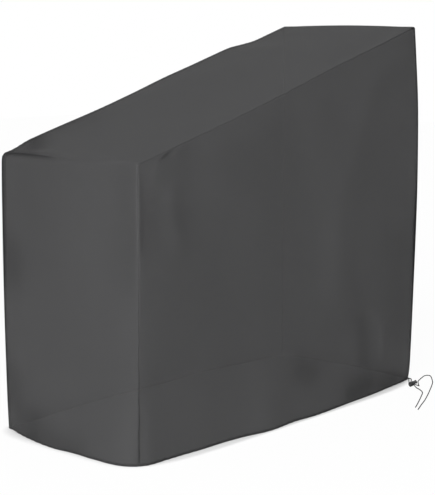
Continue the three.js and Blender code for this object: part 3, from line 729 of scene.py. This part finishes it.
def stripInward(path):
    # the way in from the strip's face, by distance along it from the low fold and to the high fold
    bend = cover["foldRound"][0]
    lowShare = smoothStep(-bend, bend, path)[..., None]
    highShare = smoothStep(-bend, bend, path - topLength)[..., None]
    return unit(mix(mix(inward["low"], inward["top"], lowShare), inward["high"], highShare))


def hemOutward(own, other, away):
    # the way out of a hem, which turns towards the corner beside a seam
    share = np.maximum(0, 1 - away / cover["seamRound"]) ** 2
    return -unit(inward[own] + share[..., None] * inward[other])


def makeHem(face, neighbours, columns, long, pointsAt):
    # a hem's rows, which reach closer to the corners than the panel above them, the way out of it, and
    # where its columns are
    places = columns.copy()
    places[0], places[-1] = hemLook["corner"], long - hemLook["corner"]
    way = np.where((places > long / 2)[:, None], hemOutward(face, neighbours[1], long - places),
                   hemOutward(face, neighbours[0], places))
    rows = [pointsAt(places / long, np.full(len(columns), z)) + out * way for out, z in hemProfile()]
    return np.array(rows), way, places


def startSheet(grid, faces, u, v, shade):
    return {"points": [grid.reshape(-1, 3)], "faces": [faces], "shade": [shade.ravel()],
            "uvs": [np.stack([u, v], -1).reshape(-1, 2)]}


def addSeam(sheet, ring, rings, uvStep, order):
    # joins a seam's rings of points to that ring of the sheet. order is the order of a face's corners.
    uvs, shade = sheet["uvs"][0][ring], sheet["shade"][0][ring]
    for k, places in enumerate(rings):
        first = sum(len(part) for part in sheet["points"])
        after = np.arange(first, first + len(ring))
        sheet["faces"].append(np.stack([ring[:-1], ring[1:], after[1:], after[:-1]], -1)[:, order])
        sheet["points"].append(places)
        sheet["uvs"].append(uvs + uvStep * (k + 1))
        sheet["shade"].append(foldedShade(shade, k))
        ring = after


def closeSheet(name, sheet, turned):
    # one piece of cloth, with its thickness inwards from its outer face
    faces = np.vstack(sheet["faces"])
    item = makePiece(name, np.vstack(sheet["points"]) + (0, 0, floorZ), faces[:, ::-1] if turned else faces,
                     np.vstack(sheet["uvs"]), np.concatenate(sheet["shade"]))
    shell = item.modifiers.new("shell", "SOLIDIFY")
    shell.thickness = cover["thick"]
    shell.offset = -1
    shell.use_even_offset = False
    ready = bpy.data.meshes.new_from_object(item.evaluated_get(bpy.context.evaluated_depsgraph_get()))
    item.modifiers.clear()
    item.data = ready
    item.data.set_sharp_from_angle(angle=math.radians(50))
    print(name, "shaped,", len(faces), "faces")
    return item


def makeSide(side):
    nearSide = side == "near"
    long, low, high = cover["length"], cover["lowHeight"], cover["highHeight"]
    columns = seamDistances(long, spacing["side"])
    share = columns[None, :] / long
    topGap = [e / math.cos(slope) for e in [seamStart] + easing]
    steps = int(round((high - panelRows[-1] - topGap[-1]) / spacing["side"] * spacing["rowShare"]))

    def heights(top):
        middle = np.linspace(panelRows[-1], top - topGap[-1], steps + 1)[1:-1]
        return np.array(panelRows + list(middle) + [top - gap for gap in reversed(topGap)])[:, None]

    panel = sidePoints(side, share, heights(low), heights(high))
    height = mix(heights(low), heights(high), share)
    hem, hemWay, hemColumns = makeHem(side, ("low", "high"), columns, long,
                                      lambda along, z: sidePoints(side, along, z, z))
    grid = np.concatenate([hem, panel])
    rows, count = grid.shape[:2]
    first, step = hemLook["sideRows"]
    hemRun = first + step * np.arange(len(hem))
    v = np.concatenate([np.broadcast_to(hemRun[:, None], hem.shape[:2]), height])
    u = np.concatenate([np.broadcast_to(hemColumns, hem.shape[:2]), np.broadcast_to(columns, height.shape)])
    top = topAt(share)
    # painted shade and light beside the three seams, in the creases and in patches
    shade = (shadeBeside(side, height / seamLong, columns[None, :])
             + shadeBeside(side, (low + share * topLength) / seamLong, (top - height) * math.cos(slope))
             + shadeBeside(side, 1 - height / seamLong, long - columns[None, :])
             + paintedShadingAt(side, share, height / top, long, top))
    shade = np.concatenate([np.full(hem.shape[:2], hemLook["shade"][side]), np.clip(shade, -1, 1)])
    faces = gridFaces(rows, count)
    if nearSide:  # the open corner where the cord comes out
        notched = columns > long - hemLook["notch"] - 1e-6
        faces = faces[~(notched[faces[:, 1] % count] & (faces[:, 3] // count <= len(hem)))]

    # round the three seams: up the low edge, along the top, down the high edge
    loop = [(r, 0) for r in range(len(hem), rows)] + [(rows - 1, c) for c in range(1, count)]
    loop += [(r, count - 1) for r in range(rows - 2, len(hem) - 1, -1)]
    r, c = np.array(loop).T
    path = np.where(c == 0, v[r, c] - low, u[r, c] / math.cos(slope))
    path = np.where((c == count - 1) & (r < rows - 1), topLength + high - v[r, c], path)
    ways = stripInward(path)
    rings, seam = turnIn(grid[r, c], ways, np.broadcast_to(inward[side], ways.shape), side, path)
    sheet = startSheet(grid, faces, u, v, shade)
    addSeam(sheet, r * count + c, rings, -ways[:, [0, 2]] * seamLook["uvStep"], [0, 3, 2, 1])
    kept = columns <= long - hemLook["notch"] if nearSide else columns > 0
    return closeSheet(side + "Panel", sheet, not nearSide), seam, (hem[-1][kept], hemWay[kept])


def makeStrip():
    wide, low, high, step = cover["width"], cover["lowHeight"], cover["highHeight"], spacing["strip"]
    columns = seamDistances(wide, step)
    across = columns / wide
    toFold = foldRows[::-1]

    def legRows(tall):
        middle = evenly(panelRows[-1], tall - foldRows[-1], step)[1:-1]
        return np.array(panelRows + middle + [tall - e for e in toFold])

    lowLeg, highLeg = legRows(low), legRows(high)[::-1]
    middle = evenly(foldRows[-1], topLength - foldRows[-1], step)[1:-1]
    slopeRun = np.array([0.0] + foldRows + middle + [topLength - e for e in toFold] + [topLength])

    (hemLow, lowWay, _), (hemHigh, highWay, _) = [
        makeHem(end, ("near", "far"), columns, wide, lambda x, z, end=end: endPoints(end, x, z))
        for end in ("low", "high")
    ]
    kept = columns >= hemLook["notch"]
    stitchLines = [(hemLow[-1], lowWay), (hemHigh[-1][kept], highWay[kept])]
    same = np.ones(len(columns))
    grid = np.concatenate([
        hemLow,
        [endPoints("low", across, z * same) for z in lowLeg],
        [topPoints(across, run / topLength * same) for run in slopeRun],
        [endPoints("high", across, z * same) for z in highLeg],
        hemHigh[::-1],
    ])
    hems = len(hemLow)
    rows, count = grid.shape[:2]
    first, gap = hemLook["stripRows"]
    hemRun = np.linspace(first, panelRows[0] - gap, hems)
    path = np.concatenate([hemRun - low, lowLeg - low, slopeRun, topLength + high - highLeg,
                           topLength + high - hemRun[::-1]])
    faces = gridFaces(rows, count)
    notched = columns < hemLook["notch"] + 1e-6  # the open corner where the cord comes out
    faces = faces[~(notched[faces[:, 1] % count] & (faces[:, 3] // count >= rows - hems))]
    u = np.broadcast_to(columns, (rows, count))
    v = np.broadcast_to(path[:, None] + low, (rows, count))
    # painted shade and light beside the two seams, in the creases and in patches
    shade = shadeBeside("near", v / seamLong, u) + shadeBeside("far", v / seamLong, wide - u)
    done = hems
    for face, places, tall in (("low", lowLeg, low), ("top", slopeRun, topLength), ("high", highLeg, high)):
        tone = paintedShadingAt(face, across[None, :], places[:, None] / tall, wide, tall)
        shade[done:done + len(places)] += tone
        done += len(places)
    shade = np.clip(shade, -1, 1)
    shade[:hems], shade[rows - hems:] = hemLook["shade"]["low"], hemLook["shade"]["high"]

    sheet = startSheet(grid, faces, u, v, shade)
    inRows = np.arange(hems, rows - hems)
    ways = stripInward(path[inRows])
    for side, column, sign, order in (("near", 0, -1, [0, 1, 2, 3]), ("far", count - 1, 1, [3, 2, 1, 0])):
        ownWay = np.broadcast_to(inward[side], ways.shape)
        rings, _ = turnIn(grid[inRows, column], ownWay, ways, side, path[inRows])
        addSeam(sheet, inRows * count + column, rings, np.array((sign * seamLook["uvStep"], 0)), order)
    return closeSheet("stripPanel", sheet, True), stitchLines


nearPanel, nearSeam, nearHem = makeSide("near")
farPanel, farSeam, farHem = makeSide("far")
stripPanel, stripHems = makeStrip()
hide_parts("near_panel")
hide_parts("far_panel")
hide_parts("strip_panel")


# Sewing: thread wound over the raw edges of each seam, and a row of stitches along each hem

overlockLook = {
    "half": (0.00125, 0.0022),  # half sizes across the seam and along its depth
    "back": 0.0015,  # from the raw edges to its middle
    "pitch": 0.0028,  # of its stitches
    "relief": 0.16,  # how much they stand out, as a share
    "step": 0.0007,
    "sides": 10,
}
stitchLook = {
    "pitch": 0.0031,
    "gap": 0.0007,  # from one stitch to the next
    "radius": 0.00022,
    "sides": 6,
    # share along a stitch, how far its middle stands off the cloth, share of the radius
    "profile": [(0.0, -0.0001, 0.7), (0.2, 0.0001, 1.0), (0.5, 0.00014, 1.0), (0.8, 0.0001, 1.0),
                (1.0, -0.0001, 0.7)],
}


def makeOverlock(name, seam, settings):
    run = runAlong(seam[0])
    marks = np.linspace(0, run[-1], int(run[-1] / settings["step"]))
    line, into, aside = spreadOut(marks, run, *seam)
    into, aside = unit(into), unit(aside)
    turn = np.linspace(0, 2 * math.pi, settings["sides"], endpoint=False)[None, :, None]
    wave = np.abs(np.sin(math.pi * marks / settings["pitch"]))[:, None, None]
    size = 1 + settings["relief"] * (wave - 1)
    middle = line - settings["back"] * into
    rings = middle[:, None] + size * (settings["half"][0] * np.cos(turn) * aside[:, None]
                                      + settings["half"][1] * np.sin(turn) * into[:, None])
    print(name, "sewn,", round(float(marks[-1]), 3), "m")
    floor = (0, 0, floorZ)
    return makeTube(name, rings + floor, middle + floor, turn[..., 0] * settings["half"][1], marks[:, None])


def makeStitches(name, lines, settings):
    sides, pitch = settings["sides"], settings["pitch"]
    turn = np.linspace(0, 2 * math.pi, sides, endpoint=False)[:, None]
    share, out, size = np.array(settings["profile"]).T
    points, faces, uvs = [], [], []
    for places, ways in lines:
        run = runAlong(places)
        for start in np.arange(pitch, run[-1] - 2 * pitch, pitch):
            line, off = spreadOut(start + share * (pitch - settings["gap"]), run, places, ways)
            off, ahead = unit(off), unit(line[-1] - line[0])
            middle = line + out[:, None] * off
            rings = middle[:, None] + settings["radius"] * size[:, None, None] * (
                np.cos(turn) * off[:, None] + np.sin(turn) * np.cross(ahead, off)[:, None])
            faces += tubeFaces(len(middle), sides, first=len(points) * (len(middle) * sides + 2))
            points.append(np.vstack([rings.reshape(-1, 3), middle[:1], middle[-1:]]))
            uvs.append(np.stack([points[-1][:, 0] + points[-1][:, 1], points[-1][:, 2]], -1))
    print(name, "sewn,", len(points), "stitches")
    return makePiece(name, np.vstack(points) + (0, 0, floorZ), faces, np.vstack(uvs))


nearOverlock = makeOverlock("nearOverlock", nearSeam, overlockLook)
farOverlock = makeOverlock("farOverlock", farSeam, overlockLook)
hemStitches = makeStitches("hemStitches", [nearHem, farHem] + stripHems, stitchLook)


# Materials

def newGroup(name, inputs, outputs):
    group = bpy.data.node_groups.new(name, "ShaderNodeTree")
    for label, value in inputs.items():
        socket = group.interface.new_socket(label, in_out="INPUT", socket_type="NodeSocketFloat")
        socket.default_value = value
    for label in outputs:
        group.interface.new_socket(label, in_out="OUTPUT", socket_type="NodeSocketFloat")
    return group, group.nodes.new("NodeGroupInput"), group.nodes.new("NodeGroupOutput")


def give(tree, socket, value):
    # a plain value, or a link from another node's output
    if isinstance(value, bpy.types.NodeSocket):
        tree.links.new(value, socket)
    else:
        socket.default_value = value


def giveAll(tree, node, values):
    for label, value in values.items():
        give(tree, node.inputs[label.replace("_", " ")], value)
    return node


def addNode(tree, kind, **values):
    return giveAll(tree, tree.nodes.new("ShaderNode" + kind), values)


def calc(tree, kind, a, b=None, c=None, clamp=False):
    node = tree.nodes.new("ShaderNodeMath")
    node.operation = kind
    node.use_clamp = clamp
    for socket, value in zip(node.inputs, (a, b, c)):
        if value is not None:
            give(tree, socket, value)
    return node.outputs[0]


weaveLook = {
    "crisp": 2.5,  # how sharply one thread gives way to the other
    "slubs": (900.0, 30.0),  # how fine the unevenness of the threads is, along and across the cloth
}


def makeWeaveGroup(settings):
    # plain weave from threads that pass over and under each other, by a cloth's own coordinates
    group, given, made = newGroup("plainWeave", {"Along": 0.0, "Across": 0.0, "Thread pitch": 0.0006},
                                  ["Height", "Thread", "Slub"])
    turns = []
    for label in ("Along", "Across"):
        share = calc(group, "DIVIDE", given.outputs[label], given.outputs["Thread pitch"])
        turns.append(calc(group, "SINE", calc(group, "MULTIPLY", share, math.pi)))
    checker = calc(group, "MULTIPLY", calc(group, "MULTIPLY", turns[0], turns[1]), settings["crisp"])
    over = calc(group, "MULTIPLY_ADD", checker, 0.5, 0.5, clamp=True)
    under = calc(group, "SUBTRACT", 1.0, over)
    warp = calc(group, "ABSOLUTE", turns[0])
    weft = calc(group, "ABSOLUTE", turns[1])
    warpHeight, weftHeight = calc(group, "MULTIPLY", warp, over), calc(group, "MULTIPLY", weft, under)
    height = calc(group, "MAXIMUM", warpHeight, weftHeight)
    thread = calc(group, "MAXIMUM", warp, weft)
    along, across = settings["slubs"]
    place = addNode(group, "CombineXYZ", X=calc(group, "MULTIPLY", given.outputs["Along"], along),
                    Y=calc(group, "MULTIPLY", given.outputs["Across"], across))
    slub = addNode(group, "TexNoise", Vector=place.outputs[0], Scale=1.0, Detail=2.0)
    group.links.new(height, made.inputs["Height"])
    group.links.new(thread, made.inputs["Thread"])
    group.links.new(slub.outputs["Fac"], made.inputs["Slub"])
    return group


def makePatchGroup():
    # soft uneven patches, as of coating, handling and dust
    group, given, made = newGroup("softPatches", {"Size": 4.0, "Contrast": 1.5}, ["Mask"])
    place = addNode(group, "TexCoord")
    cloud = addNode(group, "TexNoise", Vector=place.outputs["Object"], Scale=given.outputs["Size"],
                    Detail=3.0)
    centred = calc(group, "SUBTRACT", cloud.outputs["Fac"], 0.5)
    spread = calc(group, "MULTIPLY_ADD", centred, given.outputs["Contrast"], 0.5, clamp=True)
    group.links.new(spread, made.inputs["Mask"])
    return group


weaveGroup = makeWeaveGroup(weaveLook)
patchGroup = makePatchGroup()


def useGroup(tree, group, **values):
    node = tree.nodes.new("ShaderNodeGroup")
    node.node_tree = group
    return giveAll(tree, node, values)


def mixColour(tree, factor, dark, light):
    node = tree.nodes.new("ShaderNodeMix")
    node.data_type = "RGBA"
    for number, value in ((0, factor), (6, dark), (7, light)):
        give(tree, node.inputs[number], value)
    return node.outputs[2]


def addBump(tree, height, strength, distance):
    return addNode(tree, "Bump", Strength=strength, Distance=distance, Height=height).outputs["Normal"]


def newMaterial(name):
    material = bpy.data.materials.new(name)
    material.use_nodes = True
    return material, material.node_tree, material.node_tree.nodes["Principled BSDF"]


def useWeave(tree, pitch):
    # the weave by the cloth's own coordinates
    uv = addNode(tree, "UVMap")
    uv.uv_map = "clothUV"
    split = addNode(tree, "SeparateXYZ", Vector=uv.outputs[0])
    return useGroup(tree, weaveGroup, Along=split.outputs[1], Across=split.outputs[0], Thread_pitch=pitch)


clothLook = {
    "dark": (0.0345, 0.0345, 0.0353, 1),
    "light": (0.0445, 0.0445, 0.0455, 1),
    "seam": (0.008, 0.008, 0.0084, 1),  # at the seams and along the hem, for the doubled cloth and thread, and as painted shade in creases, patches and along the outlines
    "doubled": 0.34,  # how much more a face hides there
    "paintedLight": (0.062, 0.062, 0.063, 1),  # painted light: highlights along the near low seam, lit patches and crease ridges, and lighter seams and hems where they show through the cloth
    "cover": (0.565, 0.10),  # how much one face of a panel hides between its threads, and more on one
    "thin": 0.33,  # how much less it hides where it is lightest
    "threadPitch": 0.0006,
    "patches": {"Size": 3.5, "Contrast": 1.6},
    "tone": (0.3, 0.55, 0.3),  # how much slubs, patches and the weave lighten it
    "roughness": (0.46, 0.58),
    "dullness": 0.35,  # how much rougher it is at the seams
    "shine": 0.12,
    "bump": (0.14, 0.00012),
}


def makeClothMaterial(settings):
    material, tree, shader = newMaterial("sheerCloth")
    weave = useWeave(tree, settings["threadPitch"])
    patches = useGroup(tree, patchGroup, **settings["patches"])
    ofSlub, ofPatches, ofWeave = settings["tone"]
    tone = calc(tree, "MULTIPLY", patches.outputs["Mask"], ofPatches)
    tone = calc(tree, "MULTIPLY_ADD", weave.outputs["Slub"], ofSlub, tone)
    tone = calc(tree, "MULTIPLY_ADD", weave.outputs["Height"], ofWeave, tone, clamp=True)
    plain = mixColour(tree, tone, settings["dark"], settings["light"])
    # the mask of painted shade and painted light, with the darkness of the doubled cloth at the seams
    shade = addNode(tree, "Attribute")
    shade.attribute_name = "seamsAndPaintedShading"
    dark = calc(tree, "MULTIPLY", shade.outputs["Fac"], 1.0, clamp=True)
    paintedLight = calc(tree, "MULTIPLY", shade.outputs["Fac"], -1.0, clamp=True)
    least, most = settings["roughness"]
    rough = addNode(tree, "MapRange", Value=patches.outputs["Mask"], To_Min=least, To_Max=most).outputs[0]
    rough = calc(tree, "MULTIPLY_ADD", dark, settings["dullness"], rough, clamp=True)
    between, onThread = settings["cover"]
    hiding = calc(tree, "MULTIPLY_ADD", weave.outputs["Thread"], onThread, between)
    thin = calc(tree, "MULTIPLY", calc(tree, "POWER", paintedLight, 4.0), -settings["thin"])
    doubled = calc(tree, "MULTIPLY", calc(tree, "POWER", dark, 2.0), settings["doubled"])
    hiding = calc(tree, "ADD", calc(tree, "ADD", hiding, thin), doubled, clamp=True)
    # painted shade towards the seam colour above 0, and painted light towards the lighter colour below 0
    colour = mixColour(tree, paintedLight, mixColour(tree, dark, plain, settings["seam"]), settings["paintedLight"])
    giveAll(tree, shader, {"Base Color": colour, "Roughness": rough, "Alpha": hiding,
                           "Normal": addBump(tree, weave.outputs["Height"], *settings["bump"])})
    shader.inputs["Specular IOR Level"].default_value = settings["shine"]
    return material


yarnLook = {  # roughness is how much it changes, and its least
    "braidedCord": {
        "dark": (0.006, 0.006, 0.0065, 1),
        "light": (0.016, 0.016, 0.017, 1),
        "threadPitch": 0.0004,
        "roughness": (0.2, 0.7),
        "bump": (0.4, 0.0001),
    },
    "sewingThread": {
        "dark": (0.04, 0.04, 0.041, 1),
        "light": (0.07, 0.07, 0.071, 1),
        "threadPitch": 0.0003,
        "roughness": (0.2, 0.55),
        "bump": (0.3, 0.00006),
    },
}
plasticLook = {
    "dark": (0.006, 0.006, 0.0066, 1),
    "light": (0.012, 0.012, 0.013, 1),
    "patches": {"Size": 260.0, "Contrast": 2.0},
    "grain": {"Size": 2600.0, "Contrast": 1.5},
    "roughness": (0.18, 0.36),
    "bump": (0.25, 0.0001),
}


def makeYarnMaterial(name, settings):
    material, tree, shader = newMaterial(name)
    weave = useWeave(tree, settings["threadPitch"])
    slub = weave.outputs["Slub"]
    giveAll(tree, shader, {"Base Color": mixColour(tree, slub, settings["dark"], settings["light"]),
                           "Roughness": calc(tree, "MULTIPLY_ADD", slub, *settings["roughness"]),
                           "Normal": addBump(tree, weave.outputs["Height"], *settings["bump"])})
    return material


def makePlasticMaterial(settings):
    material, tree, shader = newMaterial("mouldedPlastic")
    patches = useGroup(tree, patchGroup, **settings["patches"]).outputs["Mask"]
    grain = useGroup(tree, patchGroup, **settings["grain"]).outputs["Mask"]
    giveAll(tree, shader, {"Base Color": mixColour(tree, patches, settings["dark"], settings["light"]),
                           "Roughness": calc(tree, "MULTIPLY_ADD", patches, *settings["roughness"]),
                           "Normal": addBump(tree, grain, *settings["bump"])})
    return material


clothMaterial = makeClothMaterial(clothLook)
cordMaterial = makeYarnMaterial("braidedCord", yarnLook["braidedCord"])
threadMaterial = makeYarnMaterial("sewingThread", yarnLook["sewingThread"])
plasticMaterial = makePlasticMaterial(plasticLook)


def dress(item, material):
    item.data.materials.clear()
    item.data.materials.append(material)


for panel in (nearPanel, farPanel, stripPanel):
    dress(panel, clothMaterial)
    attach(panel, "cover")
for item in (nearOverlock, farOverlock, hemStitches):
    dress(item, threadMaterial)
    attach(item, "cover")
for item in (cordShort, cordLong):
    dress(item, cordMaterial)
    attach(item, "cover")
lockBarrel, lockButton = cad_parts["lock_barrel"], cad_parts["lock_button"]
for item in (lockBarrel, lockButton):
    dress(item, plasticMaterial)
print("materials set")


# Floor and light

stageLook = {
    "floor": 0.62,
    "lift": (0.04, 0.96),  # how far the floor inside the cover, and round it, is washed out to white
    "sky": 1.0,  # all round, as the camera sees it
    "light": (0.56, 0.16, 0.02),  # even part of the light all round, then more of it from the left and above
    "lamp": {"from": (-0.80, -0.36, 0.52), "strength": 3.9, "spread": 45},
    "softBox": {"at": (-1.5, -1.3, 0.9), "to": (-0.3, -0.2), "size": 1.2, "power": 15},  # over the floor
    "footprint": (0.672, 0.318),  # half sizes of the floor inside the hem
    "corners": 6.0,  # how square that floor is
    "edge": (0.85, 1.25),  # where the lift changes from the one to the other, 1 at the footprint's edge
    "reach": 14,  # from the middle of the floor to its sides
    "below": 0.0004,  # from the hem to the floor
}


def makeFloor(settings):
    mesh = bpy.data.meshes.new("floor")
    reach = settings["reach"]
    corners = [(x * reach, y * reach, 0) for x, y in ((-1, -1), (1, -1), (1, 1), (-1, 1))]
    mesh.from_pydata(corners, [], [(0, 1, 2, 3)])
    floor = bpy.data.objects.new("floor", mesh)
    floor.location.z = floorZ - settings["below"]
    bpy.context.scene.collection.objects.link(floor)
    material, tree, shader = newMaterial("paleFloor")
    shader.inputs["Base Color"].default_value = (settings["floor"],) * 3 + (1,)
    shader.inputs["Roughness"].default_value = 0.9
    shader.inputs["Specular IOR Level"].default_value = 0.1
    place = addNode(tree, "SeparateXYZ", Vector=addNode(tree, "TexCoord").outputs["Object"])
    terms = []
    for axis, half in enumerate(settings["footprint"]):
        share = calc(tree, "ABSOLUTE", calc(tree, "DIVIDE", place.outputs[axis], half))
        terms.append(calc(tree, "POWER", share, settings["corners"]))
    (begin, end), (inside, outside) = settings["edge"], settings["lift"]
    lift = addNode(tree, "MapRange", Value=calc(tree, "ADD", *terms), From_Min=begin, From_Max=end,
                   To_Min=inside, To_Max=outside)
    lift.interpolation_type = "SMOOTHSTEP"
    path = addNode(tree, "LightPath")
    glow = addNode(tree, "Emission", Strength=settings["sky"])
    shown = calc(tree, "MULTIPLY", lift.outputs[0], path.outputs["Is Camera Ray"])
    join = addNode(tree, "MixShader", Fac=shown)
    tree.links.new(shader.outputs[0], join.inputs[1])
    tree.links.new(glow.outputs[0], join.inputs[2])
    tree.links.new(join.outputs[0], tree.nodes["Material Output"].inputs["Surface"])
    dress(floor, material)


def makeSky(settings):
    world = bpy.data.worlds.new("studio")
    world.use_nodes = True
    tree = world.node_tree
    tree.nodes.clear()
    place = addNode(tree, "SeparateXYZ", Vector=addNode(tree, "TexCoord").outputs["Generated"])
    even, left, above = settings["light"]
    strength = calc(tree, "MULTIPLY_ADD", place.outputs[0], -left, even)
    strength = calc(tree, "MULTIPLY_ADD", place.outputs[2], above, strength)
    white = (1, 1, 1, 1)
    seen = addNode(tree, "Background", Color=white, Strength=settings["sky"])
    lit = addNode(tree, "Background", Color=white, Strength=strength)
    join = addNode(tree, "MixShader", Fac=addNode(tree, "LightPath").outputs["Is Camera Ray"])
    tree.links.new(lit.outputs[0], join.inputs[1])
    tree.links.new(seen.outputs[0], join.inputs[2])
    tree.links.new(join.outputs[0], addNode(tree, "OutputWorld").inputs[0])
    bpy.context.scene.world = world


def makeLamp(settings):
    data = bpy.data.lights.new("lamp", "SUN")
    data.energy = settings["strength"]
    data.angle = math.radians(settings["spread"])
    lamp = bpy.data.objects.new("lamp", data)
    lamp.rotation_euler = Vector(settings["from"]).to_track_quat("Z", "Y").to_euler()
    bpy.context.scene.collection.objects.link(lamp)


def makeSoftBox(settings):
    data = bpy.data.lights.new("softBox", "AREA")
    data.energy = settings["power"]
    data.size = settings["size"]
    box = bpy.data.objects.new("softBox", data)
    box.location = Vector(settings["at"]) + Vector((0, 0, floorZ))
    aim = Vector((*settings["to"], floorZ / 2))
    box.rotation_euler = (box.location - aim).to_track_quat("Z", "Y").to_euler()
    bpy.context.scene.collection.objects.link(box)


makeFloor(stageLook)
makeSky(stageLook)
makeLamp(stageLook["lamp"])
makeSoftBox(stageLook["softBox"])
bpy.context.scene.view_settings.view_transform = "Standard"
print("stage and light set")
